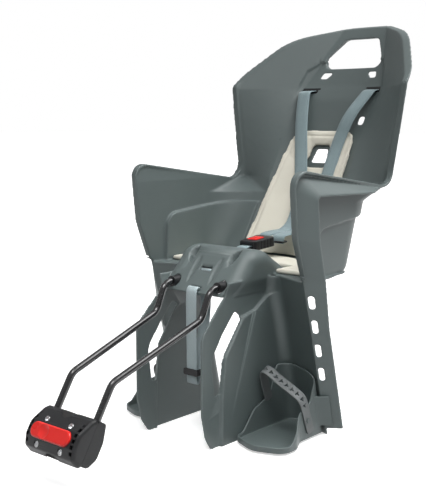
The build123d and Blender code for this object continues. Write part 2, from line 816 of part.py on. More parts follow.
# Block on the seat tube, in two halves round the tube. Local y runs back and local z along the tube.
screw_spots = [(sign * x, z) for sign in (1, -1) for x, z in screw_at]
bore_radius = tube_radius + liner_thick + fit


def latch_slot(play: float) -> Sketch:
    """Plan of one bar latch: a stem behind the button and a frame round the bar."""
    frame_half = bar_radius + latch_web + play
    with BuildSketch(block.offset(button_z - latch_thick / 2 - play)) as drawn:
        with Locations((bar_block_x, tube_ahead - bar_radius - button_press - latch_web - play)):
            Rectangle(
                2 * frame_half,
                2 * bar_radius + button_press + 2 * latch_web - notch_deep + 2 * play,
                align=(Align.CENTER, Align.MIN),
            )
        with Locations((bar_block_x - frame_half, -button_back + play)):
            Rectangle(latch_stem + 2 * play, button_back, align=(Align.MIN, Align.MIN))
    return drawn.sketch


with BuildPart() as latch_path:
    extrude(latch_slot(fit), amount=latch_thick + 2 * fit)
    extrude(latch_slot(fit).moved(Location(block.y_dir * button_press)), amount=latch_thick + 2 * fit)
    mirror(about=Plane.YZ)

with BuildPart() as block_casing:
    casing_side = [
        (split_y, -block_half_tall),
        (split_y, block_half_tall),
        (split_y - casing_lip, block_half_tall),
        (-casing_brow, block_half_tall - casing_slope),
        (-casing_front, casing_belly[1]),
        (-casing_front, casing_belly[0]),
        (-casing_chin, casing_slope - block_half_tall),
        (split_y - casing_lip, -block_half_tall),
    ]
    extrude(outline(block_side, casing_side, casing_rounds), amount=block_half_x, both=True)
    corner_edges = block_casing.faces().filter_by(Axis.X).edges()
    fillet(corner_edges.filter_by(lambda e: block.to_local_coords(e.center()).Y < split_y - fit), casing_edge)
    # Rows of pockets beside the button.
    pocket_low = -pocket_pitch * (pocket_count - 1) / 2
    with BuildSketch(block_face.offset(pocket_floor)):
        for number in range(pocket_count):
            pocket_z = pocket_low + number * pocket_pitch
            with Locations((pocket_x, pocket_z), (-pocket_x, pocket_z)):
                Rectangle(*pocket_size)
    extrude(amount=casing_front, mode=Mode.SUBTRACT)
    with Locations(block):
        Cylinder(bore_radius, 3 * block_half_tall, mode=Mode.SUBTRACT)
    with BuildSketch(block_face.offset(button_back - button_press - fit)):
        with Locations((0, button_z)):
            SlotOverall(button_size[0] + 2 * fit, button_size[1] + 2 * fit)
    extrude(amount=casing_front, mode=Mode.SUBTRACT)
    with BuildSketch(block_face):
        with Locations(*screw_spots):
            Circle(screw_radius + fit)
    extrude(amount=casing_front, mode=Mode.SUBTRACT)
    with BuildSketch(block_face.offset(screw_seat)):
        with Locations(*screw_spots):
            Circle(screw_head + fit)
    extrude(amount=casing_front, mode=Mode.SUBTRACT)
    add(latch_path.part, mode=Mode.SUBTRACT)

with BuildPart() as block_jaw:
    jaw_side = [
        (split_y + fit, jaw_foot - block_half_tall),
        (split_y + fit, block_half_tall),
        (jaw_back - jaw_crown[0], block_half_tall),
        (jaw_back, block_half_tall - jaw_crown[1]),
        (jaw_back, jaw_foot + jaw_heel[1] - block_half_tall),
        (jaw_back - jaw_heel[0], jaw_foot - block_half_tall),
    ]
    extrude(outline(block_side, jaw_side, jaw_rounds), amount=block_half_x, both=True)
    corner_edges = block_jaw.faces().filter_by(Axis.X).edges()
    fillet(corner_edges.filter_by(lambda e: block.to_local_coords(e.center()).Y > 0), jaw_edge)
    with Locations(block):
        Cylinder(bore_radius, 3 * block_half_tall, mode=Mode.SUBTRACT)
        bar_hole_z = bar_foot_z - fit
        with Locations((bar_block_x, tube_ahead, bar_hole_z), (-bar_block_x, tube_ahead, bar_hole_z)):
            Cylinder(
                bar_radius + fit,
                2 * block_half_tall,
                align=(Align.CENTER, Align.CENTER, Align.MIN),
                mode=Mode.SUBTRACT,
            )
    with BuildSketch(block_face):
        with Locations(*screw_spots):
            Circle(screw_radius + fit)
    extrude(amount=2 * jaw_back, both=True, mode=Mode.SUBTRACT)
    with BuildSketch(block_face.offset(-nut_seat)):
        with Locations(*screw_spots):
            RegularPolygon(nut_radius + fit, 6)
    extrude(amount=-jaw_back, mode=Mode.SUBTRACT)
    add(latch_path.part, mode=Mode.SUBTRACT)

with BuildPart() as block_screws:
    for spot in screw_spots:
        with BuildSketch(block_face.offset(screw_seat)):
            with Locations(spot):
                Circle(screw_head)
                RegularPolygon(screw_radius, 6, mode=Mode.SUBTRACT)
        extrude(amount=screw_radius)
        with BuildSketch(block_face.offset(screw_seat)):
            with Locations(spot):
                Circle(screw_radius)
        extrude(amount=-screw_seat - nut_seat - screw_radius)
    with BuildSketch(block_face.offset(screw_seat)):
        with Locations(*screw_spots):
            Circle(screw_head - fit)
    extrude(amount=socket_floor)

with BuildPart() as block_nuts:
    with BuildSketch(block_face.offset(-nut_seat)):
        with Locations(*screw_spots):
            RegularPolygon(nut_radius, 6)
            Circle(screw_radius + fit, mode=Mode.SUBTRACT)
    extrude(amount=-nut_thick)

with BuildPart() as liner_front:
    with Locations(block):
        Cylinder(tube_radius + liner_thick, 2 * (block_half_tall - liner_inset))
        Cylinder(tube_radius, 2 * block_half_tall, mode=Mode.SUBTRACT)
        with Locations((0, split_y, 0)):
            Box(
                2 * block_half_x,
                2 * jaw_back,
                3 * block_half_tall,
                align=(Align.CENTER, Align.MIN, Align.CENTER),
                mode=Mode.SUBTRACT,
            )

with BuildPart() as liner_rear:
    with Locations(block):
        with Locations((0, 0, jaw_foot / 2)):
            Cylinder(tube_radius + liner_thick, 2 * (block_half_tall - liner_inset) - jaw_foot)
        Cylinder(tube_radius, 2 * block_half_tall, mode=Mode.SUBTRACT)
        with Locations((0, split_y + fit, 0)):
            Box(
                2 * block_half_x,
                2 * jaw_back,
                3 * block_half_tall,
                align=(Align.CENTER, Align.MAX, Align.CENTER),
                mode=Mode.SUBTRACT,
            )

with BuildPart() as release_button:
    with BuildSketch(block_face.offset(button_back)):
        with Locations((0, button_z)):
            SlotOverall(*button_size)
    extrude(amount=casing_front + button_proud - button_back)
    face_edges = release_button.edges().filter_by(lambda e: block.to_local_coords(e.center()).Y < -casing_front)
    fillet(face_edges, button_edge)
    with Locations(block):
        with Locations((scoop_x, scoop_deep - casing_front - button_proud - scoop_radius, button_z)):
            Sphere(scoop_radius, mode=Mode.SUBTRACT)

with BuildPart() as latch_left:
    extrude(latch_slot(0), amount=latch_thick)
    with BuildSketch(block.offset(button_z - latch_thick)):
        with Locations((bar_block_x, tube_ahead - bar_radius - button_press - fit)):
            Rectangle(
                2 * bar_radius + 2 * fit,
                2 * bar_radius + button_press - notch_deep + 2 * fit,
                align=(Align.CENTER, Align.MIN),
            )
    extrude(amount=2 * latch_thick, mode=Mode.SUBTRACT)

with BuildPart() as latch_right:
    mirror(latch_left.part, about=Plane.YZ)

# Footrests: an open scoop that leans on the calf panel and slides along the flange of the leg.
def rest_plan(z: float, grow: float, lift: float = 0.0) -> Sketch:
    """Plan of the footrest at a height."""
    return outline(
        Plane.XY.offset(z + lift),
        [
            (rest_in_x, calf_y(rest_in_x, z) - rest_gap),
            (rest_in_x, rest_front_y + rest_shoulder),
            (rest_in_x + rest_toe_x, rest_front_y),
            (rest_bulge_x, rest_front_y + rest_shoulder),
            (rest_bulge_x, rest_front_y + rest_bulge_y),
            (rest_out_x, rest_front_y + rest_waist_y),
            (rest_out_x, calf_y(rest_out_x, z) - rest_gap),
        ],
        rest_rounds,
        grow,
    )


with BuildPart() as footrest_left:
    loft([rest_plan(rest_low_z, 0), rest_plan(rest_high_z, 0)], ruled=True)
    loft(
        [rest_plan(rest_low_z, -rest_wall, rest_wall), rest_plan(rest_high_z, -rest_wall, rest_wall)],
        ruled=True,
        mode=Mode.SUBTRACT,
    )
    rest_view = [
        (0, 0),
        (0, rest_rim_z[0]),
        (rest_front_y + rest_rim_y[0], rest_rim_z[0]),
        (rest_front_y + rest_rim_y[1], rest_rim_z[1]),
        (rest_front_y + rest_rim_y[2], rest_rim_z[2]),
        (rest_front_y + rest_rim_y[3], rest_high_z),
        (head_top[0], rest_high_z),
        (head_top[0], 0),
    ]
    extrude(outline(Plane.YZ, rest_view, rest_rim_rounds), amount=head_top[0], mode=Mode.INTERSECT)
    # Shoe that rides on the flange.
    edge_y = leg_edge_y(shoe_z)
    shoe_step = shoe_reach * (flange_knee_y - leg_knee[0]) / (flange_x - rim_x)
    shoe = [
        (rest_out_x - rest_wall, edge_y - shoe_root),
        (rest_out_x - rest_wall, edge_y - rest_gap - rest_wall / 2),
        (rim_x + fit, edge_y - 2 * fit),
        (rim_x + shoe_reach, edge_y + shoe_step - 2 * fit),
        (rim_x + shoe_reach + shoe_thick, edge_y + shoe_step - 2 * fit - shoe_thick),
        (rim_x + shoe_thick, edge_y - 2 * shoe_thick),
        (rest_out_x, edge_y - shoe_root),
    ]
    slide_way = Vector(0, leg_knee[0] - leg_end[0], leg_knee[1] - leg_end[1]).normalized()
    extrude(outline(Plane.XY.offset(shoe_z), shoe, 0), amount=shoe_long, dir=slide_way)

with BuildPart() as footrest_right:
    mirror(footrest_left.part, about=Plane.YZ)

with BuildPart() as foot_strap_left:
    web_in = rest_in_x + rest_wall + fit
    web_out = rest_out_x + fit
    web_path = [(web_in + x, z) for x, z in foot_web_in] + [(web_out, z) for z in foot_web_out_z]
    web_plane = Plane.XZ.offset(-foot_web_y)
    extrude(band(web_plane, web_path, foot_web_rounds, foot_web_thick), amount=foot_web / 2, both=True)
    with BuildSketch(Plane.XY):
        for number in range(tee_count):
            tee_x = web_in + tee_start + tee_pitch * number
            with Locations((tee_x, foot_web_y)):
                Rectangle(*tee_bar)
            with Locations((tee_x + tee_stem[0] / 2, foot_web_y)):
                Rectangle(*tee_stem)
    extrude(amount=2 * rest_high_z, mode=Mode.SUBTRACT)
    with Locations(Location((rest_out_x, foot_web_y, stud_z), (0, 90, 0))):
        Cylinder(stud_radius + fit, 4 * wall, mode=Mode.SUBTRACT)

with BuildPart() as foot_strap_right:
    mirror(foot_strap_left.part, about=Plane.YZ)

with BuildPart() as strap_stud_left:
    with Locations(Location((rest_out_x, foot_web_y, stud_z), (0, 90, 0))):
        Cylinder(stud_radius, foot_web_thick + 3 * fit, align=(Align.CENTER, Align.CENTER, Align.MIN))
    with Locations(Location((rest_out_x + foot_web_thick + 2 * fit, foot_web_y, stud_z), (0, 90, 0))):
        Cylinder(2 * stud_radius, stud_cap, align=(Align.CENTER, Align.CENTER, Align.MIN))

with BuildPart() as strap_stud_right:
    mirror(strap_stud_left.part, about=Plane.YZ)

# Every piece is centred on the whole seat, fore and aft, and written to its own file.
pieces = {
    "seat_shell": seat_shell,
    "back_pad": back_pad,
    "seat_pad": seat_pad,
    "shoulder_strap_left": shoulder_strap_left,
    "shoulder_strap_right": shoulder_strap_right,
    "strap_bar_left": strap_bar_left,
    "strap_bar_right": strap_bar_right,
    "crotch_strap": crotch_strap,
    "buckle_housing": buckle_housing,
    "buckle_button": buckle_button,
    "buckle_tongue": buckle_tongue,
    "safety_strap": safety_strap,
    "ladder_lock": ladder_lock,
    "carrier_bar_left": carrier_bar_left,
    "carrier_bar_right": carrier_bar_right,
    "bar_bush_left": bar_bush_left,
    "bar_bush_right": bar_bush_right,
    "clamp_plate": clamp_plate,
    "clamp_screws": clamp_screws,
    "block_casing": block_casing,
    "block_jaw": block_jaw,
    "block_screws": block_screws,
    "block_nuts": block_nuts,
    "liner_front": liner_front,
    "liner_rear": liner_rear,
    "release_button": release_button,
    "latch_left": latch_left,
    "latch_right": latch_right,
    "footrest_left": footrest_left,
    "footrest_right": footrest_right,
    "foot_strap_left": foot_strap_left,
    "foot_strap_right": foot_strap_right,
    "strap_stud_left": strap_stud_left,
    "strap_stud_right": strap_stud_right,
}
boxes = [piece.part.bounding_box() for piece in pieces.values()]
mid_y = (min(box.min.Y for box in boxes) + max(box.max.Y for box in boxes)) / 2
for name, piece in pieces.items():
    placed = piece.part.moved(Location((0, -mid_y, 0)))
    placed.label = name
    export_step(placed, f"parts/{name}.step")
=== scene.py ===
"""Looks of a rear child bike seat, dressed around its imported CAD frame.

Lengths are metres in the frame's axes: +Z is up, the child faces -Y and +X is the child's left.
Points taken from the part's drawing are millimetres, with Y counted from the tips of the legs.
"""

import json
import logging
import math
from collections.abc import Iterator
from contextlib import contextmanager
from dataclasses import dataclass, replace
from enum import Enum

import bmesh
import bpy
import numpy as np
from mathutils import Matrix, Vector
from mathutils.bvhtree import BVHTree

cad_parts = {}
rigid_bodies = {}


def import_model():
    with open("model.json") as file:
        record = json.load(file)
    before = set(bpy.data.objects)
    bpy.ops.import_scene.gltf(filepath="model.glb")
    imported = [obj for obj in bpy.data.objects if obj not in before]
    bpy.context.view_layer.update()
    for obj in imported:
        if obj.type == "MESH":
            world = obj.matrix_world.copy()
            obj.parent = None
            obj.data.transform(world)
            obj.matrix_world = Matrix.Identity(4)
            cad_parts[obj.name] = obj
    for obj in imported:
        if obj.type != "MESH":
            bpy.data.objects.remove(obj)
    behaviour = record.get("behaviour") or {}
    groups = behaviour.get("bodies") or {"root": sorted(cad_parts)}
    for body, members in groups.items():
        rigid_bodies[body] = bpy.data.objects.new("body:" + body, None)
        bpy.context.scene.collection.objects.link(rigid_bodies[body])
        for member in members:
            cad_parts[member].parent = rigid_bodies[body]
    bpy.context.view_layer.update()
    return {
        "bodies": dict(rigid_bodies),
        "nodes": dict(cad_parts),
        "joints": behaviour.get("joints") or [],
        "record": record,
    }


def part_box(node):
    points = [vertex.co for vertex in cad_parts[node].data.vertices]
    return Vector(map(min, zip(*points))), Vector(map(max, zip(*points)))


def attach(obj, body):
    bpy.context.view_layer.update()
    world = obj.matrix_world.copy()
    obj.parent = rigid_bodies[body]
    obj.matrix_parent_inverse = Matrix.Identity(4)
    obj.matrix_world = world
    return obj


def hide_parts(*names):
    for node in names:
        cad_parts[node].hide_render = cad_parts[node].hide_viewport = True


LOG = logging.getLogger("child_seat")
Colour = tuple[float, float, float]
Place = tuple[float, float, float]
Pair = tuple[float, float]
Line = tuple[tuple[float, ...], tuple[float, ...]]

MM = 0.001
# Points closer than this are one point.
SAME = 1e-6
# Least length that anything is divided by.
LEAST = 1e-9
# Front of the legs in the drawing, in millimetres.
LEG_FRONT = -31.0
# Direction of the face of each pad that lies on the shell.
PAD_BACKS = {"back_pad": (0.0, 0.85, -0.53), "seat_pad": (0.0, 0.0, -1.0)}
# Direction into the front of the hump, and into the corner where back and pan meet.
INTO_SHELL = (0.0, 0.6, -0.8)


class Side(Enum):
    """The child's own left and right."""

    LEFT = 1
    RIGHT = -1

    @property
    def tag(self) -> str:
        """Name of the side as it stands at the end of a node's name."""
        return self.name.lower()


class Body(Enum):
    """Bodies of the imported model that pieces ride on."""

    SEAT = "seat"
    FOOT_LEFT = "footrest_left"
    FOOT_RIGHT = "footrest_right"

    @classmethod
    def foot(cls, side: Side) -> "Body":
        """Body of the footrest on one side."""
        return cls.FOOT_LEFT if side is Side.LEFT else cls.FOOT_RIGHT


class Pattern(Enum):
    """Fine relief of a finish."""

    GRAIN = "moulded_grain"
    WEAVE = "webbing_weave"
    FOAM = "foam_pores"
    BRUSH = "brushed_lines"


class NodeSheet:
    """A node tree with short calls for adding and joining nodes."""

    def __init__(self, tree: bpy.types.NodeTree) -> None:
        """Start with a tree that exists.

        Args:
            tree: Shader or geometry node tree to draw in.
        """
        self.tree = tree

    @classmethod
    def group(cls, name: str, inputs: dict[str, float], outputs: tuple[str, ...]) -> "NodeSheet":
        """Start a shader node group with number sockets.

        Args:
            name: Name of the group.
            inputs: Number inputs with the values they start at.
            outputs: Names of the number outputs.

        Returns:
            The sheet, with its two end nodes in `source` and `sink`.
        """
        sheet = cls(bpy.data.node_groups.new(name, "ShaderNodeTree"))
        sheet.numbers(inputs)
        for label in outputs:
            sheet.socket(label, "OUTPUT", "NodeSocketFloat")
        return sheet.ends()

    def socket(self, label: str, end: str, kind: str) -> bpy.types.NodeTreeInterfaceSocket:
        """Add a socket to the input or output end of a group."""
        return self.tree.interface.new_socket(label, in_out=end, socket_type=kind)

    def numbers(self, inputs: dict[str, float]) -> None:
        """Add number inputs to a group, with the values they start at."""
        for label, value in inputs.items():
            self.socket(label, "INPUT", "NodeSocketFloat").default_value = value

    def ends(self) -> "NodeSheet":
        """Add the two end nodes of a group, as `source` and `sink`, and return the sheet."""
        self.source = self.add("NodeGroupInput")
        self.sink = self.add("NodeGroupOutput")
        return self

    def add(self, kind: str, settings: dict | None = None, **values: object) -> bpy.types.Node:
        """Add a node.

        Args:
            kind: Type name of the node.
            settings: Properties of the node itself.
            **values: Values or source sockets for its inputs, with _ for a space in a name.

        Returns:
            The new node.
        """
        node = self.tree.nodes.new(kind)
        for key, value in (settings or {}).items():
            setattr(node, key, value)
        for key, value in values.items():
            self.feed(node.inputs[key.replace("_", " ")], value)
        return node

    def feed(self, socket: bpy.types.NodeSocket, value: object) -> None:
        """Join a socket to another one, or set its value.

        Args:
            socket: Input socket.
            value: Output socket to join it to, or a plain value.
        """
        if isinstance(value, bpy.types.NodeSocket):
            self.tree.links.new(value, socket)
        else:
            socket.default_value = value

    def math(self, operation: str, first: object, second: object = 0.0) -> bpy.types.NodeSocket:
        """Add a Math node and return its result.

        Args:
            operation: Name of the operation.
            first: First value or socket.
            second: Second value or socket.

        Returns:
            Output socket.
        """
        node = self.add("ShaderNodeMath", {"operation": operation})
        self.feed(node.inputs[0], first)
        self.feed(node.inputs[1], second)
        return node.outputs[0]


class SharedEffects:
    """Shader node groups that several finishes use, each built once."""

    def get(self, name: str) -> bpy.types.NodeTree:
        """Return a group by its name, building it the first time.

        Args:
            name: Name of the group, which is also the name of the method that builds it.

        Returns:
            The node group.
        """
        return bpy.data.node_groups.get(name) or getattr(self, name)()

    def moulded_grain(self) -> bpy.types.NodeTree:
        """Fine spark-eroded grain that a moulding tool leaves on plastic."""
        sheet = NodeSheet.group("moulded_grain", {"Scale": 900.0}, ("Height",))
        scale = sheet.source.outputs["Scale"]
        where = sheet.add("ShaderNodeTexCoord").outputs["Object"]
        pits = sheet.add("ShaderNodeTexVoronoi", Vector=where, Scale=scale)
        cloud = sheet.add("ShaderNodeTexNoise", Vector=where, Scale=scale, Detail=2.0)
        height = sheet.math("MULTIPLY_ADD", pits.outputs["Distance"], 0.6)
        sheet.feed(height.node.inputs[2], cloud.outputs["Fac"])
        sheet.feed(sheet.sink.inputs["Height"], height)
        return sheet.tree

    def foam_pores(self) -> bpy.types.NodeTree:
        """Closed skin of foam, with small pores and a soft unevenness."""
        sheet = NodeSheet.group("foam_pores", {"Scale": 700.0}, ("Height",))
        scale = sheet.source.outputs["Scale"]
        where = sheet.add("ShaderNodeTexCoord").outputs["Object"]
        smooth = {"feature": "SMOOTH_F1"}
        pores = sheet.add("ShaderNodeTexVoronoi", smooth, Vector=where, Scale=scale)
        coarse = sheet.math("MULTIPLY", scale, 0.12)
        swell = sheet.add("ShaderNodeTexNoise", Vector=where, Scale=coarse, Detail=3.0)
        height = sheet.math("MULTIPLY_ADD", pores.outputs["Distance"], 0.35)
        sheet.feed(height.node.inputs[2], swell.outputs["Fac"])
        sheet.feed(sheet.sink.inputs["Height"], height)
        return sheet.tree

    def webbing_weave(self) -> bpy.types.NodeTree:
        """Plain weave in a strap's own UV map, which is in metres across and along."""
        sheet = NodeSheet.group("webbing_weave", {"Scale": 700.0}, ("Height",))
        scale = sheet.source.outputs["Scale"]
        where = sheet.add("ShaderNodeTexCoord").outputs["UV"]
        parts = sheet.add("ShaderNodeSeparateXYZ", Vector=where)
        column = sheet.math("MULTIPLY", parts.outputs["X"], scale)
        shift = sheet.math("MULTIPLY", sheet.math("FLOOR", column), 0.5)
        row = sheet.math("ADD", sheet.math("MULTIPLY", parts.outputs["Y"], scale), shift)
        rib = sheet.math("ABSOLUTE", sheet.math("SINE", sheet.math("MULTIPLY", column, math.pi)))
        beat = sheet.math("ABSOLUTE", sheet.math("SINE", sheet.math("MULTIPLY", row, math.pi)))
        sheet.feed(sheet.sink.inputs["Height"], sheet.math("MULTIPLY", rib, beat))
        return sheet.tree

    def brushed_lines(self) -> bpy.types.NodeTree:
        """Fine lines of drawn or turned metal."""
        sheet = NodeSheet.group("brushed_lines", {"Scale": 900.0}, ("Height",))
        where = sheet.add("ShaderNodeTexCoord").outputs["Object"]
        drawn = sheet.add("ShaderNodeMapping", Vector=where, Scale=(1.0, 0.04, 1.0))
        lines = sheet.add("ShaderNodeTexNoise", Vector=drawn.outputs["Vector"], Detail=3.0)
        sheet.feed(lines.inputs["Scale"], sheet.source.outputs["Scale"])
        sheet.feed(sheet.sink.inputs["Height"], lines.outputs["Fac"])
        return sheet.tree

    def tone_drift(self) -> bpy.types.NodeTree:
        """Slow change of tone over a moulding or a length of cloth."""
        sheet = NodeSheet.group("tone_drift", {"Scale": 9.0}, ("Factor",))
        where = sheet.add("ShaderNodeTexCoord").outputs["Object"]
        slow = sheet.add("ShaderNodeTexNoise", Vector=where, Detail=5.0, Roughness=0.62)
        sheet.feed(slow.inputs["Scale"], sheet.source.outputs["Scale"])
        tone = slow.outputs["Fac"]
        spread = sheet.add("ShaderNodeMapRange", Value=tone, From_Min=0.32, From_Max=0.68)
        sheet.feed(sheet.sink.inputs["Factor"], spread.outputs["Result"])
        return sheet.tree

    def edge_rub(self) -> bpy.types.NodeTree:
        """Rubbed edges, from the piece's own `rub` attribute broken up by noise."""
        sheet = NodeSheet.group("edge_rub", {"Amount": 0.5, "Scale": 140.0}, ("Mask",))
        where = sheet.add("ShaderNodeTexCoord").outputs["Object"]
        rub = sheet.add("ShaderNodeAttribute", {"attribute_name": "rub"}).outputs["Fac"]
        patchy = sheet.add("ShaderNodeTexNoise", Vector=where, Detail=4.0)
        sheet.feed(patchy.inputs["Scale"], sheet.source.outputs["Scale"])
        broken = sheet.math("MULTIPLY", rub, sheet.math("ADD", patchy.outputs["Fac"], 0.3))
        mask = sheet.math("MULTIPLY", broken, sheet.source.outputs["Amount"])
        mask.node.use_clamp = True
        sheet.feed(sheet.sink.inputs["Mask"], mask)
        return sheet.tree


EFFECTS = SharedEffects()


@dataclass(frozen=True)
class Finish:
    """One finish: colour, gloss and fine relief.

    Attributes:
        name: Name of the material.
        shade: Main colour, linear.
        tint: Colour that it drifts to, linear.
        wear_and_highlight: Colour of its rubbed edges, and of the painted highlight on its raised
            relief, linear.
        rough: Lowest and highest roughness.
        pattern: Fine relief.
        cells: Scale of the relief, per metre.
        relief: Height of the relief.
        patch: Scale of the drift in tone, per metre.
        rub: How far the rubbed edges turn to the colour of wear.
        metal: Metallic share.
        coat: Clear coat.
        sheen: Soft sheen of cloth and foam.
        relief_highlight: How far the relief shows in the tone, as a painted highlight on its raised
            parts.
        shine: Strength of the plain reflection.
    """

    name: str
    shade: Colour
    tint: Colour
    wear_and_highlight: Colour
    rough: tuple[float, float]
    pattern: Pattern
    cells: float
    relief: float
    patch: float = 9.0
    rub: float = 0.0
    metal: float = 0.0
    coat: float = 0.0
    sheen: float = 0.0
    relief_highlight: float = 0.0
    shine: float = 0.5

    def material(self) -> bpy.types.Material:
        """Return the material of this finish, building it the first time."""
        found = bpy.data.materials.get(self.name)
        if found:
            return found
        material = bpy.data.materials.new(self.name)
        material.use_nodes = True
        sheet = NodeSheet(material.node_tree)
        shader = material.node_tree.nodes["Principled BSDF"]
        plain = {
            "Metallic": self.metal,
            "Specular IOR Level": self.shine,
            "Coat Weight": self.coat,
            "Coat Roughness": 0.08,
            "Sheen Weight": self.sheen,
            "Sheen Roughness": 0.5,
        }
        for label, value in plain.items():
            shader.inputs[label].default_value = value
        drift = self._place(sheet, "tone_drift", Scale=self.patch).outputs["Factor"]
        rub = self._place(sheet, "edge_rub", Amount=self.rub).outputs["Mask"]
        tone = self._mix(sheet, drift, (*self.shade, 1.0), (*self.tint, 1.0))
        wear_and_highlight = self._mix(sheet, rub, tone, (*self.wear_and_highlight, 1.0))
        relief = self._place(sheet, self.pattern.value, Scale=self.cells).outputs["Height"]
        # Raised parts of the relief are painted lighter here: a painted highlight, used on the
        # webbing's threads.
        if self.relief_highlight:
            share = sheet.math("MULTIPLY", relief, self.relief_highlight)
            wear_and_highlight = self._mix(sheet, share, wear_and_highlight, (*self.wear_and_highlight, 1.0))
        sheet.feed(shader.inputs["Base Color"], wear_and_highlight)
        low, high = self.rough
        gloss = sheet.add("ShaderNodeMapRange", Value=drift, To_Min=low, To_Max=high)
        sheet.feed(shader.inputs["Roughness"], gloss.outputs["Result"])
        bump = sheet.add("ShaderNodeBump", Strength=0.6, Distance=self.relief, Height=relief)
        sheet.feed(shader.inputs["Normal"], bump.outputs["Normal"])
        return material

    @staticmethod
    def _place(sheet: NodeSheet, group: str, **values: float) -> bpy.types.Node:
        """Place a shared effect in a material.

        Args:
            sheet: Node tree of the material.
            group: Name of the effect.
            **values: Its input values.

        Returns:
            The group's node.
        """
        return sheet.add("ShaderNodeGroup", {"node_tree": EFFECTS.get(group)}, **values)

    @staticmethod
    def _mix(
        sheet: NodeSheet, factor: object, first: object, second: object
    ) -> bpy.types.NodeSocket:
        """Mix two colours.

        Args:
            sheet: Node tree of the material.
            factor: Share of the second colour.
            first: First colour or socket.
            second: Second colour or socket.

        Returns:
            Output socket with the mixed colour.
        """
        node = sheet.add("ShaderNodeMix", {"data_type": "RGBA"})
        # Inputs 6 and 7 and output 2 are the node's colour sockets.
        sheet.feed(node.inputs[0], factor)
        sheet.feed(node.inputs[6], first)
        sheet.feed(node.inputs[7], second)
        return node.outputs[2]

    def dress(self, piece: bpy.types.Object) -> None:
        """Give a piece this finish alone.

        Args:
            piece: Object to dress.
        """
        piece.data.materials.clear()
        piece.data.materials.append(self.material())


SHELL = Finish(
    name="satin_shell",
    shade=(0.104, 0.131, 0.13),
    tint=(0.112, 0.14, 0.139),
    wear_and_highlight=(0.165, 0.195, 0.192),
    rough=(0.42, 0.52),
    pattern=Pattern.GRAIN,
    cells=1100.0,
    relief=0.00005,
    rub=0.45,
)
PAD = Finish(
    name="cream_foam",
    shade=(0.73, 0.7, 0.6),
    tint=(0.77, 0.745, 0.645),
    wear_and_highlight=(0.8, 0.78, 0.7),
    rough=(0.78, 0.9),
    pattern=Pattern.FOAM,
    cells=900.0,
    relief=0.00012,
    sheen=0.15,
)
# The raised threads of this weave are painted lighter, a painted highlight; nothing on it is
# rubbed, so its pale third colour serves only that highlight.
WEBBING = Finish(
    name="grey_webbing",
    shade=(0.16, 0.235, 0.255),
    tint=(0.2, 0.28, 0.3),
    wear_and_highlight=(0.46, 0.56, 0.58),
    rough=(0.7, 0.85),
    pattern=Pattern.WEAVE,
    cells=420.0,
    relief=0.0003,
    patch=30.0,
    sheen=0.2,
    relief_highlight=0.6,
)
# The same webbing painted lighter for the safety strap: painted light, standing in for the light
# missing where it hangs in shade between the legs.
SAFETY_WEBBING_PAINTED_LIGHTER = replace(
    WEBBING,
    name="painted_lighter_webbing",
    shade=(0.3, 0.39, 0.41),
    tint=(0.36, 0.45, 0.47),
    wear_and_highlight=(0.7, 0.78, 0.8),
)
THREAD = Finish(
    name="strap_thread",
    shade=(0.09, 0.11, 0.135),
    tint=(0.11, 0.13, 0.16),
    wear_and_highlight=(0.16, 0.18, 0.2),
    rough=(0.6, 0.75),
    pattern=Pattern.GRAIN,
    cells=3000.0,
    relief=0.00005,
    sheen=0.2,
)
BLACK_BAR = Finish(
    name="gloss_black_bar",
    shade=(0.009, 0.009, 0.01),
    tint=(0.014, 0.014, 0.015),
    wear_and_highlight=(0.05, 0.05, 0.05),
    rough=(0.2, 0.3),
    pattern=Pattern.GRAIN,
    cells=500.0,
    relief=0.00002,
    patch=25.0,
    coat=0.6,
)
BLACK_PLASTIC = Finish(
    name="satin_black",
    shade=(0.014, 0.0145, 0.016),
    tint=(0.021, 0.0215, 0.023),
    wear_and_highlight=(0.06, 0.06, 0.062),
    rough=(0.38, 0.48),
    pattern=Pattern.GRAIN,
    cells=1300.0,
    relief=0.00004,
    patch=20.0,
    rub=0.4,
    shine=0.3,
)
RED_PLASTIC = Finish(
    name="gloss_red",
    shade=(0.86, 0.024, 0.02),
    tint=(0.9, 0.034, 0.028),
    wear_and_highlight=(0.95, 0.12, 0.1),
    rough=(0.24, 0.32),
    pattern=Pattern.GRAIN,
    cells=900.0,
    relief=0.00002,
    patch=30.0,
    coat=0.15,
    shine=0.25,
)
STEEL = Finish(
    name="plated_steel",
    shade=(0.55, 0.56, 0.57),
    tint=(0.64, 0.65, 0.66),
    wear_and_highlight=(0.75, 0.75, 0.75),
    rough=(0.22, 0.36),
    pattern=Pattern.BRUSH,
    cells=2600.0,
    relief=0.00002,
    patch=60.0,
    metal=1.0,
)
RUBBER = Finish(
    name="matt_rubber",
    shade=(0.03, 0.03, 0.03),
    tint=(0.042, 0.042, 0.042),
    wear_and_highlight=(0.07, 0.07, 0.07),
    rough=(0.75, 0.88),
    pattern=Pattern.GRAIN,
    cells=1500.0,
    relief=0.00006,
    patch=30.0,
)
STRAP_RUBBER = Finish(
    name="grey_strap_rubber",
    shade=(0.135, 0.148, 0.15),
    tint=(0.16, 0.173, 0.175),
    wear_and_highlight=(0.24, 0.25, 0.25),
    rough=(0.5, 0.62),
    pattern=Pattern.GRAIN,
    cells=1500.0,
    relief=0.00005,
    patch=30.0,
    rub=0.4,
)


def ease(value: np.ndarray, low: float, high: float) -> np.ndarray:
    """Smooth step from 0 at low to 1 at high."""
    share = np.clip((value - low) / (high - low), 0.0, 1.0)
    return share * share * (3.0 - 2.0 * share)


def fall(value: np.ndarray, low: float, high: float) -> np.ndarray:
    """Smooth step from 1 at low to 0 at high."""
    return ease(-value, -high, -low)


@contextmanager
def opened(data: bpy.types.Mesh) -> Iterator[bmesh.types.BMesh]:
    """Open a mesh for editing, and write the work back into it at the end.

    Args:
        data: Mesh to edit.

    Yields:
        The open mesh.
    """
    work = bmesh.new()
    work.from_mesh(data)
    yield work
    work.to_mesh(data)
    work.free()


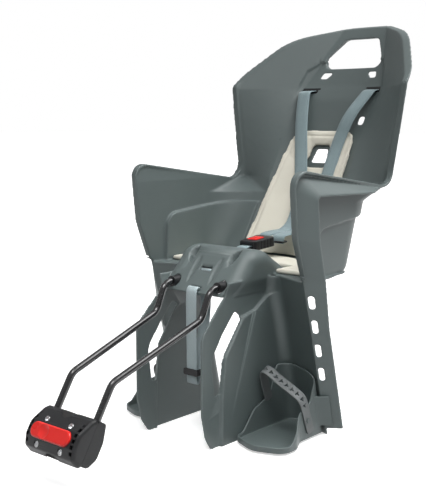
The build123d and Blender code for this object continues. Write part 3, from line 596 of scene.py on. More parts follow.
class Workshop:
    """Mesh work that every sub-assembly shares."""

    def __init__(self, nodes: dict[str, bpy.types.Object]) -> None:
        """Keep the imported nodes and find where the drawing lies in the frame.

        Args:
            nodes: CAD objects by node name.
        """
        self.nodes = nodes
        self.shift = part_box("seat_shell")[0].y - LEG_FRONT * MM

    def at(self, x: float, y: float, z: float) -> Vector:
        """Point of the part's drawing, in the frame.

        Args:
            x: Millimetres to the child's left.
            y: Millimetres behind the tips of the legs.
            z: Millimetres above the floor.

        Returns:
            The point in metres.
        """
        return Vector((x * MM, y * MM + self.shift, z * MM))

    def new(self, name: str, data: bpy.types.ID) -> bpy.types.Object:
        """Put new data into the scene as an object at the origin."""
        piece = bpy.data.objects.new(name, data)
        bpy.context.scene.collection.objects.link(piece)
        return piece

    def mesh(self, name: str, points: np.ndarray, faces: list) -> bpy.types.Object:
        """Make a mesh object from points and faces, with smooth shading.

        Args:
            name: Name of the object.
            points: Points, one row each.
            faces: Point numbers of each face.

        Returns:
            The new object.
        """
        data = bpy.data.meshes.new(name)
        data.from_pydata([tuple(p) for p in points], [], faces)
        data.shade_smooth()
        return self.new(name, data)

    def wire(self, name: str, points: list, edges: list) -> bpy.types.Object:
        """Make a mesh object from points and edges alone, for a tree to grow on.

        Args:
            name: Name of the object.
            points: Points.
            edges: Point numbers of each edge.

        Returns:
            The new object.
        """
        data = bpy.data.meshes.new(name)
        data.from_pydata([tuple(p) for p in points], edges, [])
        return self.new(name, data)

    def copy(self, node: str, name: str) -> bpy.types.Object:
        """Copy a CAD node's mesh into a new object and merge its loose triangles.

        Args:
            node: Name of the node.
            name: Name of the new object.

        Returns:
            The new object.
        """
        data = self.nodes[node].data.copy()
        data.materials.clear()
        with opened(data) as work:
            bmesh.ops.remove_doubles(work, verts=work.verts, dist=SAME)
        return self.new(name, data)

    def settle(self, piece: bpy.types.Object) -> None:
        """Turn a piece's modifiers into its mesh.

        Args:
            piece: Object with modifiers.
        """
        graph = bpy.context.evaluated_depsgraph_get()
        data = bpy.data.meshes.new_from_object(piece.evaluated_get(graph))
        piece.modifiers.clear()
        piece.data = data

    @staticmethod
    def remesh(piece: bpy.types.Object, voxel: float) -> None:
        """Add a remesh to a piece, in voxels of one size."""
        remesh = piece.modifiers.new("remesh", "REMESH")
        remesh.mode = "VOXEL"
        remesh.voxel_size = voxel

    def skin(self, piece: bpy.types.Object, voxel: float, rounds: int) -> None:
        """Turn a sharp solid into a moulding with soft edges.

        Args:
            piece: Object to remesh.
            voxel: Size of the remesh.
            rounds: Rounds of smoothing.
        """
        self.remesh(piece, voxel)
        soften = piece.modifiers.new("soften", "SMOOTH")
        soften.factor = 0.5
        soften.iterations = rounds
        self.settle(piece)

    def thin(self, piece: bpy.types.Object, limit: int) -> None:
        """Bring a piece under a number of triangles.

        Args:
            piece: Object to thin.
            limit: Most triangles to keep.
        """
        count = sum(len(face.vertices) - 2 for face in piece.data.polygons)
        if count > limit:
            thin = piece.modifiers.new("thin", "DECIMATE")
            thin.ratio = limit / count
            self.settle(piece)
        piece.data.shade_smooth()

    @staticmethod
    def points(piece: bpy.types.Object) -> np.ndarray:
        """Points of a mesh, one row each."""
        flat = np.empty(len(piece.data.vertices) * 3)
        piece.data.vertices.foreach_get("co", flat)
        return flat.reshape(-1, 3)

    @staticmethod
    def normals(piece: bpy.types.Object) -> np.ndarray:
        """Point normals of a mesh, one row each."""
        flat = np.empty(len(piece.data.vertices) * 3)
        piece.data.vertex_normals.foreach_get("vector", flat)
        return flat.reshape(-1, 3)

    @staticmethod
    def move(piece: bpy.types.Object, points: np.ndarray) -> None:
        """Move the points of a mesh to new places."""
        piece.data.vertices.foreach_set("co", points.ravel())
        piece.data.update()

    def drawn(self, points: np.ndarray) -> np.ndarray:
        """Points of the frame, in the millimetres of the part's drawing."""
        return (points - np.array((0.0, self.shift, 0.0))) / MM

    def framed(self, points: np.ndarray) -> np.ndarray:
        """Points of the part's drawing, in the frame."""
        return points * MM + np.array((0.0, self.shift, 0.0))

    def soften(self, node: str, width: float) -> None:
        """Round the sharp edges of a CAD node with modifiers that stay live.

        Args:
            node: Name of the node.
            width: Width of the rounding.
        """
        weld = self.nodes[node].modifiers.new("weld", "WELD")
        weld.merge_threshold = SAME
        self.bevel(self.nodes[node], width, segments=2)

    @staticmethod
    def bevel(piece: bpy.types.Object, width: float, segments: int, angle: float = 40.0) -> None:
        """Add a bevel on the sharp edges of a piece.

        Args:
            piece: Object to bevel.
            width: Width of the bevel.
            segments: Steps of its rounding.
            angle: Least angle of a sharp edge, in degrees.
        """
        bevel = piece.modifiers.new("bevel", "BEVEL")
        bevel.width = width
        bevel.segments = segments
        bevel.limit_method = "ANGLE"
        bevel.angle_limit = math.radians(angle)

    def round_edges(
        self, piece: bpy.types.Object, width: float, segments: int, angle: float = 40.0
    ) -> None:
        """Round the sharp edges of a new piece, and shade it smooth between what stays sharp.

        Args:
            piece: Object to round.
            width: Width of the rounding.
            segments: Steps of the rounding.
            angle: Least angle of a sharp edge, in degrees.
        """
        self.bevel(piece, width, segments, angle)
        self.settle(piece)
        piece.data.shade_smooth()
        piece.data.set_sharp_from_angle(angle=math.radians(angle))

    def slice(self, piece: bpy.types.Object, axis: int, steps: int) -> None:
        """Cut a mesh across at equal steps, so that it can bend.

        Args:
            piece: Object to cut.
            axis: Axis along which the steps are counted.
            steps: Number of steps.
        """
        reach = self.points(piece)[:, axis]
        across = np.eye(3)[axis]
        with opened(piece.data) as work:
            for place in np.linspace(reach.min(), reach.max(), steps + 1)[1:-1]:
                every = [*work.verts, *work.edges, *work.faces]
                spot = across * place
                bmesh.ops.bisect_plane(work, geom=every, plane_co=spot, plane_no=across, dist=SAME)

    def mark_rub(self, piece: bpy.types.Object, low: float = 0.06, high: float = 0.3) -> None:
        """Store how convex the mesh is at each point in its `rub` attribute.

        Args:
            piece: Object to mark.
            low: Bend at which the mark starts.
            high: Bend at which it is full.
        """
        points, normals = self.points(piece), self.normals(piece)
        ends = np.empty(len(piece.data.edges) * 2, dtype=np.int64)
        piece.data.edges.foreach_get("vertices", ends)
        first, second = ends.reshape(-1, 2).T
        along = points[second] - points[first]
        along /= np.maximum(np.linalg.norm(along, axis=1, keepdims=True), LEAST)
        bend = np.zeros(len(points))
        count = np.zeros(len(points))
        np.add.at(bend, first, -(along * normals[first]).sum(1))
        np.add.at(bend, second, (along * normals[second]).sum(1))
        np.add.at(count, first, 1)
        np.add.at(count, second, 1)
        rub = np.clip((bend / np.maximum(count, 1) - low) / (high - low), 0, 1)
        layer = piece.data.attributes.new("rub", "FLOAT", "POINT")
        layer.data.foreach_set("value", rub.astype(np.float32))

    def line(self, route: list[Vector], steps: int) -> np.ndarray:
        """Points along the smooth line of a route.

        Args:
            route: Control points of the line.
            steps: Points between two control points.

        Returns:
            Points of the line, one row each.
        """
        data = bpy.data.curves.new("route", "CURVE")
        data.dimensions = "3D"
        data.resolution_u = steps
        spline = data.splines.new("NURBS")
        spline.points.add(len(route) - 1)
        for point, place in zip(spline.points, route):
            point.co = (*place, 1.0)
        spline.order_u = 3
        spline.use_endpoint_u = True
        holder = self.new("route", data)
        graph = bpy.context.evaluated_depsgraph_get()
        drawn = bpy.data.meshes.new_from_object(holder.evaluated_get(graph))
        found = np.array([v.co for v in drawn.vertices])
        bpy.data.objects.remove(holder)
        return found


@dataclass
class Ribbon:
    """Flat webbing that follows a route.

    Attributes:
        name: Name of the piece.
        route: Control points of its middle line.
        width: Width of the webbing.
        thick: Thickness of the webbing.
        across: Rough direction of its width.
        steps: Points between two control points.
    """

    name: str
    route: list[Vector]
    width: float
    thick: float
    across: Vector
    steps: int = 14

    def frames(self, shop: Workshop) -> tuple[np.ndarray, np.ndarray, np.ndarray, np.ndarray]:
        """Middle line of the webbing with its directions.

        Args:
            shop: Shared mesh work.

        Returns:
            Points, directions across, directions out of the face, and lengths along the line.
        """
        line = shop.line(self.route, self.steps)
        along = np.gradient(line, axis=0)
        along /= np.linalg.norm(along, axis=1, keepdims=True)
        out = np.cross(along, np.array(self.across))
        out /= np.linalg.norm(out, axis=1, keepdims=True)
        across = np.cross(out, along)
        runs = np.linalg.norm(np.diff(line, axis=0), axis=1)
        return line, across, out, np.concatenate([[0.0], np.cumsum(runs)])

    def build(self, shop: Workshop) -> bpy.types.Object:
        """Make the webbing as a closed mesh with a UV map in metres.

        Args:
            shop: Shared mesh work.

        Returns:
            The new object.
        """
        line, across, out, run = self.frames(shop)
        half, lift = self.width / 2, self.thick / 2
        edge = half - lift
        section = [(-half, 0.0), (-edge, lift), (-edge / 3, lift), (edge / 3, lift), (edge, lift)]
        section += [(-u, -w) for u, w in section]
        count = len(section)
        points = [line + u * across + w * out for u, w in section]
        points = np.stack(points, axis=1).reshape(-1, 3)
        faces = [list(range(count))[::-1], list(range(len(points) - count, len(points)))]
        for row in range(len(line) - 1):
            for k in range(count):
                a, b = row * count + k, row * count + (k + 1) % count
                faces.append([a, b, b + count, a + count])
        piece = shop.mesh(self.name, points, faces)
        uv = piece.data.uv_layers.new(name="UVMap")
        places = [(section[i % count][0], run[i // count]) for i in range(len(points))]
        for loop in piece.data.loops:
            uv.data[loop.index].uv = places[loop.vertex_index]
        with opened(piece.data) as work:
            bmesh.ops.recalc_face_normals(work, faces=work.faces)
        return piece


class Repeats:
    """Geometry node trees for what repeats on the seat."""

    def __init__(self, shop: Workshop) -> None:
        """Keep the shared mesh work."""
        self.shop = shop

    def _tree(self, name: str, inputs: dict[str, float]) -> NodeSheet:
        """Start a geometry node tree with number inputs and a material input.

        Args:
            name: Name of the tree.
            inputs: Number inputs with the values they start at.

        Returns:
            The sheet, with its two end nodes in `source` and `sink`.
        """
        sheet = NodeSheet(bpy.data.node_groups.new(name, "GeometryNodeTree"))
        sheet.socket("Geometry", "INPUT", "NodeSocketGeometry")
        sheet.numbers(inputs)
        sheet.socket("Material", "INPUT", "NodeSocketMaterial")
        sheet.socket("Geometry", "OUTPUT", "NodeSocketGeometry")
        return sheet.ends()

    def _end(self, sheet: NodeSheet, instances: bpy.types.NodeSocket) -> bpy.types.NodeTree:
        """Close a tree with Realize Instances, smooth shading and Set Material.

        Args:
            sheet: The open tree.
            instances: What the tree has made.

        Returns:
            The tree.
        """
        real = sheet.add("GeometryNodeRealizeInstances", Geometry=instances)
        smooth = sheet.add("GeometryNodeSetShadeSmooth", Geometry=real.outputs[0])
        made = sheet.add("GeometryNodeSetMaterial", Geometry=smooth.outputs[0])
        sheet.feed(made.inputs["Material"], sheet.source.outputs["Material"])
        sheet.feed(sheet.sink.inputs[0], made.outputs[0])
        return sheet.tree

    def stitch_rows(self) -> bpy.types.NodeTree:
        """Thread stitches along lines: pitch, length and girth."""
        sheet = self._tree("stitch_rows", {"Pitch": 0.003, "Length": 0.0022, "Girth": 0.0007})
        ends = sheet.source.outputs
        rows = sheet.add("GeometryNodeMeshToCurve", Mesh=ends["Geometry"])
        spots = sheet.add("GeometryNodeCurveToPoints", {"mode": "LENGTH"}, Curve=rows.outputs[0])
        sheet.feed(spots.inputs["Length"], ends["Pitch"])
        ball = sheet.add("GeometryNodeMeshUVSphere", Segments=8, Rings=5, Radius=0.5)
        size = sheet.add("ShaderNodeCombineXYZ", X=ends["Girth"], Y=ends["Girth"], Z=ends["Length"])
        laid = sheet.add("GeometryNodeInstanceOnPoints", Points=spots.outputs["Points"])
        sheet.feed(laid.inputs["Instance"], ball.outputs["Mesh"])
        sheet.feed(laid.inputs["Rotation"], spots.outputs["Rotation"])
        sheet.feed(laid.inputs["Scale"], size.outputs[0])
        return self._end(sheet, laid.outputs[0])

    def screw_rings(self) -> bpy.types.NodeTree:
        """Turned rings, one at each point, square to its `facing` attribute: radius and girth."""
        sheet = self._tree("screw_rings", {"Radius": 0.006, "Girth": 0.0008})
        ends = sheet.source.outputs
        hoop = sheet.add("GeometryNodeCurvePrimitiveCircle", Resolution=40, Radius=ends["Radius"])
        wire = sheet.add("GeometryNodeCurvePrimitiveCircle", Resolution=10, Radius=ends["Girth"])
        ring = sheet.add("GeometryNodeCurveToMesh", Curve=hoop.outputs[0])
        sheet.feed(ring.inputs["Profile Curve"], wire.outputs[0])
        vector = {"data_type": "FLOAT_VECTOR"}
        facing = sheet.add("GeometryNodeInputNamedAttribute", vector, Name="facing")
        turn = sheet.add("FunctionNodeAlignRotationToVector", {"axis": "Z"})
        sheet.feed(turn.inputs["Vector"], facing.outputs["Attribute"])
        laid = sheet.add("GeometryNodeInstanceOnPoints", Points=ends["Geometry"])
        sheet.feed(laid.inputs["Instance"], ring.outputs[0])
        sheet.feed(laid.inputs["Rotation"], turn.outputs[0])
        return self._end(sheet, laid.outputs[0])

    def perforated_strap(self) -> bpy.types.NodeTree:
        """Flat strap along X with a row of holes: its three sizes, and the holes' places."""
        sizes = {"Length": 0.2, "Width": 0.02, "Thick": 0.0025}
        holes = {"Pitch": 0.012, "Start": 0.03, "Count": 6.0}
        sheet = self._tree("perforated_strap", sizes | holes)
        ends = sheet.source.outputs
        body = sheet.add("GeometryNodeCurvePrimitiveQuadrilateral", Width=ends["Length"])
        sheet.feed(body.inputs["Height"], ends["Width"])
        soft = sheet.add("GeometryNodeFilletCurve", {"mode": "POLY"}, Radius=0.006, Count=5)
        sheet.feed(soft.inputs["Curve"], body.outputs[0])
        hole = sheet.add("GeometryNodeMeshToCurve", Mesh=ends["Geometry"])
        first = sheet.add("ShaderNodeCombineXYZ", X=ends["Start"])
        step = sheet.add("ShaderNodeCombineXYZ", X=ends["Pitch"])
        row = sheet.add("GeometryNodeMeshLine", Count=ends["Count"], Offset=step.outputs[0])
        sheet.feed(row.inputs["Start Location"], first.outputs[0])
        laid = sheet.add("GeometryNodeInstanceOnPoints", Points=row.outputs[0])
        sheet.feed(laid.inputs["Instance"], hole.outputs[0])
        punched = sheet.add("GeometryNodeRealizeInstances", Geometry=laid.outputs[0])
        lines = sheet.add("GeometryNodeJoinGeometry", Geometry=soft.outputs[0])
        sheet.feed(lines.inputs[0], punched.outputs[0])
        face = sheet.add("GeometryNodeFillCurve", Curve=lines.outputs[0])
        raised = sheet.add("GeometryNodeExtrudeMesh", Mesh=face.outputs[0], Individual=False)
        sheet.feed(raised.inputs["Offset Scale"], ends["Thick"])
        under = sheet.add("GeometryNodeFlipFaces", Mesh=face.outputs[0])
        both = sheet.add("GeometryNodeJoinGeometry", Geometry=raised.outputs[0])
        sheet.feed(both.inputs[0], under.outputs[0])
        closed = sheet.add("GeometryNodeMergeByDistance", Geometry=both.outputs[0], Distance=1e-6)
        return self._end(sheet, closed.outputs[0])

    def grow(self, piece: bpy.types.Object, name: str, finish: Finish, **sizes: float) -> None:
        """Run a tree on a piece and keep the result as its mesh.

        Args:
            piece: Object that holds the points or lines.
            name: Name of the tree, which is also the name of the method that builds it.
            finish: Finish of the result.
            **sizes: Values of the tree's number inputs.
        """
        tree = bpy.data.node_groups.get(name) or getattr(self, name)()
        run = piece.modifiers.new(tree.name, "NODES")
        run.node_group = tree
        for item in tree.interface.items_tree:
            if item.in_out == "INPUT" and item.name in sizes:
                run[item.identifier] = sizes[item.name]
            if item.in_out == "INPUT" and item.name == "Material":
                run[item.identifier] = finish.material()
        self.shop.settle(piece)


@dataclass(frozen=True)
class Lamp:
    """One soft square light.

    Attributes:
        name: Name of the light.
        power: Power in watts.
        place: Place in the drawing, in millimetres.
        size: Side of the square.
        aim: What it faces, in the drawing.
        spread: Angle that it shines over, in degrees.
    """

    name: str
    power: float
    place: Place
    size: float
    aim: Place = (0.0, 250.0, 350.0)
    spread: float = 180.0

    def hang(self, shop: Workshop) -> None:
        """Hang the light and turn it to what it faces.

        Args:
            shop: Shared mesh work.
        """
        data = bpy.data.lights.new(self.name, "AREA")
        data.energy = self.power
        data.size = self.size
        data.spread = math.radians(self.spread)
        lamp = shop.new(self.name, data)
        lamp.location = shop.at(*self.place)
        look = shop.at(*self.aim) - lamp.location
        lamp.rotation_euler = look.to_track_quat("-Z", "Y").to_euler()


@dataclass
class Studio:
    """Camera, pale floor and soft light, as in a product photograph.

    Attributes:
        eye: Place of the camera in the drawing, in millimetres.
        turn: Turn of the view from straight ahead, in degrees.
        tilt: Downward tilt of the view, in degrees.
        lens: Focal length for the sensor.
        sensor: Width of the sensor.
        lamps: Main light, weaker light beside it, and narrow light on the hump and footrests.
        sky: Strength of the light from above and all round.
        ground: Strength of the light that comes back from below.
        dome: Heights between which one turns into the other, as a share of a round sky.
        floor_reach: How far the floor runs out.
        floor_tone: Grey of the floor.
        floor_rough: Roughness of the floor.
        floor_glow: Own light of the floor, close to the seat and far from it.
        floor_fade: Distances between which that light changes.
    """

    eye: Place = (1092.43, -1153.1, 571.2)
    turn: float = 41.05
    tilt: float = 8.09
    lens: float = 66.24
    sensor: float = 36.0
    lamps: tuple[Lamp, ...] = (
        Lamp("key_light", 56.0, (900.0, 1300.0, 2500.0), 1.8),
        Lamp("fill_light", 15.0, (1500.0, 0.0, 2200.0), 1.6),
        Lamp("front_light", 0.95, (500.0, -650.0, 1700.0), 0.6, (90.0, 20.0, 150.0), 36.0),
    )
    sky: float = 0.6
    ground: float = 0.2
    dome: Pair = (-0.25, 0.95)
    floor_reach: float = 30.0
    floor_tone: float = 0.93
    floor_rough: float = 0.9
    floor_glow: Pair = (0.5, 0.85)
    floor_fade: Pair = (0.5, 3.0)

    def build(self, shop: Workshop) -> None:
        """Build the camera, floor and lights.

        Args:
            shop: Shared mesh work.
        """
        self._camera(shop)
        self._floor(shop)
        for lamp in self.lamps:
            lamp.hang(shop)
        self._sky()
        bpy.context.scene.view_settings.view_transform = "Standard"

    def _sky(self) -> None:
        """Light the seat from all round, more from above, in front of a white backdrop."""
        world = bpy.data.worlds.new("studio")
        world.use_nodes = True
        sheet = NodeSheet(world.node_tree)
        background = world.node_tree.nodes["Background"]
        background.inputs["Color"].default_value = (1.0, 1.0, 1.0, 1.0)
        where = sheet.add("ShaderNodeTexCoord").outputs["Generated"]
        height = sheet.add("ShaderNodeSeparateXYZ", Vector=where).outputs["Z"]
        low, high = self.dome
        dome = sheet.add("ShaderNodeMapRange", Value=height, From_Min=low, From_Max=high)
        sheet.feed(dome.inputs["To Min"], self.ground)
        sheet.feed(dome.inputs["To Max"], self.sky)
        seen = sheet.add("ShaderNodeLightPath").outputs["Is Camera Ray"]
        strength = sheet.add("ShaderNodeMix", Factor=seen)
        # Inputs 2 and 3 and output 0 are the node's number sockets.
        sheet.feed(strength.inputs[2], dome.outputs["Result"])
        sheet.feed(strength.inputs[3], 1.0)
        sheet.feed(background.inputs["Strength"], strength.outputs[0])
        bpy.context.scene.world = world

    def _camera(self, shop: Workshop) -> None:
        """Place the camera where the photograph was taken from."""
        data = bpy.data.cameras.new("camera")
        data.lens = self.lens
        data.sensor_width = self.sensor
        camera = shop.new("camera", data)
        turn, tilt = math.radians(self.turn), math.radians(self.tilt)
        level = math.cos(tilt)
        look = Vector((-math.sin(turn) * level, math.cos(turn) * level, -math.sin(tilt)))
        camera.location = shop.at(*self.eye)
        camera.rotation_euler = look.to_track_quat("-Z", "Y").to_euler()
        bpy.context.scene.camera = camera

    def _floor(self, shop: Workshop) -> None:
        """Lay a pale floor that runs out to the horizon."""
        corners = np.array([(-1, -1, 0), (1, -1, 0), (1, 1, 0), (-1, 1, 0)]) * self.floor_reach
        floor = shop.mesh("floor", corners, [[0, 1, 2, 3]])
        material = bpy.data.materials.new("pale_floor")
        material.use_nodes = True
        sheet = NodeSheet(material.node_tree)
        shader = material.node_tree.nodes["Principled BSDF"]
        tone = self.floor_tone
        shader.inputs["Base Color"].default_value = (tone, tone, tone, 1.0)
        shader.inputs["Roughness"].default_value = self.floor_rough
        shader.inputs["Emission Strength"].default_value = 1.0
        where = sheet.add("ShaderNodeTexCoord").outputs["Object"]
        far = sheet.add("ShaderNodeVectorMath", {"operation": "LENGTH"})
        sheet.feed(far.inputs[0], where)
        glow = sheet.add("ShaderNodeMapRange", Value=far.outputs["Value"])
        for label, value in zip(("From Min", "From Max"), self.floor_fade):
            sheet.feed(glow.inputs[label], value)
        for label, value in zip(("To Min", "To Max"), self.floor_glow):
            sheet.feed(glow.inputs[label], value)
        sheet.feed(shader.inputs["Emission Color"], glow.outputs["Result"])
        floor.data.materials.append(material)
        floor.visible_diffuse = False


@dataclass
class SeatShell:
    """The one-piece moulded shell, with the soft edges and fine steps of a moulding.

    Lengths of the steps are millimetres, as in the drawing.

    Attributes:
        voxel: Size of the remesh, in metres.
        rounds: Rounds of smoothing.
        limit: Most triangles.
        strip_in: How far the front strip of a leg stands in from the rear panel.
        strip_flare: How much further in its front edge stands.
        strip_pull: Share by which the strip is drawn back.
        recess: Depth of the upper back panel.
        groove: Depth of the lens-shaped grooves in the hump.
        foot_round: Rounding under the bucket.
        behind_pad: Gap left between the shell and a pad, in metres.
        corner: How far the corner behind the pads is drawn out.
        step_line: Heights and places of the step between strip and rear panel.
        strip_rear: Where a leg's strip starts to be drawn back.
        panel_sides: Heights and half widths of the upper back panel.
        groove_low: Lower end of the left groove.
        groove_high: Upper end of the left groove.
        groove_half: Half width of a groove at its middle.
    """

    voxel: float = 0.0017
    rounds: int = 5
    limit: int = 190000
    strip_in: float = 7.0
    strip_flare: float = 3.0
    strip_pull: float = 0.16
    recess: float = 5.0
    groove: float = 15.0
    foot_round: float = 18.0
    behind_pad: float = 0.0004
    corner: float = 3.0
    step_line: Line = ((0, 93, 158, 224, 232, 251, 266, 292), (28, 30, 40, 89, 124, 156, 180, 226))
    strip_rear: float = 38.0
    panel_sides: Line = ((600, 645, 676, 692), (106, 104, 97, 80))
    groove_low: Place = (46.0, 88.0, 310.0)
    groove_high: Place = (51.0, 121.0, 341.0)
    groove_half: float = 8.0

    def build(self, shop: Workshop) -> bpy.types.Object:
        """Build and dress the shell.

        Args:
            shop: Shared mesh work.

        Returns:
            The shell.
        """
        shell = shop.copy("seat_shell", "moulded_shell")
        shop.skin(shell, self.voxel, self.rounds)
        at = shop.drawn(shop.points(shell))
        for shape in (self._step_legs, self._sink_back, self._cut_grooves, self._round_bucket):
            at = shape(at)
        shop.move(shell, shop.framed(at))
        for node, back in PAD_BACKS.items():
            self._clear_pad(shop, shell, node, Vector(back))
        self._sharpen_corner(shop, shell)
        shop.thin(shell, self.limit)
        shop.mark_rub(shell)
        SHELL.dress(shell)
        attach(shell, Body.SEAT.value)
        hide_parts("seat_shell")
        return shell

    def _clear_pad(self, shop: Workshop, shell: bpy.types.Object, node: str, back: Vector) -> None:
        """Push what the smoothing left inside a pad back behind it.

        Args:
            shop: Shared mesh work.
            shell: The shell.
            node: Name of the pad's node.
            back: Direction of the face of the pad that lies on the shell.
        """
        points = shop.points(shell)
        pad = shop.points(shop.nodes[node])
        tree = BVHTree.FromObject(shop.nodes[node], bpy.context.evaluated_depsgraph_get())
        near = ((points > pad.min(0)) & (points < pad.max(0))).all(1)
        for index in np.flatnonzero(near):
            spot = Vector(points[index])
            place, normal, _, _ = tree.find_nearest(spot)
            if (spot - place).dot(normal) < 0.0:
                hit = tree.ray_cast(spot, back)[0]
                if hit is not None:
                    points[index] = hit + back * self.behind_pad
        shop.move(shell, points)

    def _sharpen_corner(self, shop: Workshop, shell: bpy.types.Object) -> None:
        """Take the soft fillet out of the corner between back and pan, where the two pads meet.

        Args:
            shop: Shared mesh work.
            shell: The shell.
        """
        points = shop.points(shell)
        x, y, z = shop.drawn(points).T
        into = np.array(INTO_SHELL)
        inner = shop.normals(shell) @ into < -0.2
        near = ease(y, 272.0, 284.0) * fall(y, 318.0, 330.0) * fall(z, 322.0, 334.0)
        near = near * fall(np.abs(x), 96.0, 104.0)
        depth = self.corner * MM * near * inner * (z > 288.0)
        shop.move(shell, points + depth[:, None] * into)

    def _step_legs(self, at: np.ndarray) -> np.ndarray:
        """Set the front strip of each leg in from its rear panel, along the line of the slot."""
        x, y, z = at.T
        line = np.interp(z, *self.step_line)
        leg = (np.abs(x) > 70.0) & (np.abs(x) < 105.0) & (z < 290.0)
        front = leg * ease(line - y, -1.5, 2.5) * fall(z, 262.0, 290.0)
        reach = self.strip_rear - y
        ahead = np.clip(reach / (self.strip_rear - LEG_FRONT), 0.0, 1.0)
        moved = at.copy()
        moved[:, 0] -= np.sign(x) * front * (self.strip_in + self.strip_flare * ahead)
        moved[:, 1] += leg * np.clip(reach, 0.0, None) * self.strip_pull
        return moved

    def _sink_back(self, at: np.ndarray) -> np.ndarray:
        """Set the upper back panel behind the wings, with a crisp step that runs out downwards."""
        x, y, z = at.T
        half = np.interp(z, *self.panel_sides)
        back = (y > 470.0) & (z > 600.0) & (z < 696.0)
        depth = self.recess * back * ease(half - np.abs(x), -1.2, 1.8) * ease(z, 606.0, 650.0)
        return at + depth[:, None] * np.array((0.0, 0.78, -0.62))

    def _cut_grooves(self, at: np.ndarray) -> np.ndarray:
        """Press a lens-shaped groove into each side of the front of the hump."""
        x, y, z = at.T
        low, high = np.array(self.groove_low), np.array(self.groove_high)
        length = np.linalg.norm(high - low)
        along = (high - low) / length
        place = np.stack((np.abs(x), y, z), axis=1) - low
        share = place @ along / length
        off = np.abs(place[:, 0] - share * (high[0] - low[0]))
        lens = np.clip(1.0 - (2.0 * share - 1.0) ** 2, 0.0, 1.0)
        wide = self.groove_half * lens + SAME
        near = (z > 290.0) & (z < 352.0) & (y > 60.0) & (y < 150.0)
        depth = self.groove * near * np.sqrt(lens) * ease(wide - off, -0.8, 1.6)
        return at + depth[:, None] * np.array(INTO_SHELL)

    def _round_bucket(self, at: np.ndarray) -> np.ndarray:
        """Round the bucket off at its foot, behind the legs."""
        x, y, z = at.T
        rise = np.clip(z - 287.0, 0.0, self.foot_round)
        inset = self.foot_round - np.sqrt(self.foot_round**2 - (self.foot_round - rise) ** 2)
        inset *= ease(y, 205.0, 255.0) * (z > 284.0)
        side, rear = np.maximum(np.abs(x) - 144.0, 0.0), np.maximum(y - 250.0, 0.0)
        reach = np.hypot(side, rear)
        most = np.where(inset > 0.5, 46.0 - inset, reach)
        shrunk = np.minimum(reach * (1.0 - inset / 44.0), most)
        share = np.where(reach > SAME, shrunk / np.maximum(reach, SAME), 1.0)
        moved = at.copy()
        moved[:, 0] -= np.sign(x) * side * (1.0 - share)
        moved[:, 1] -= rear * (1.0 - share)
        return moved


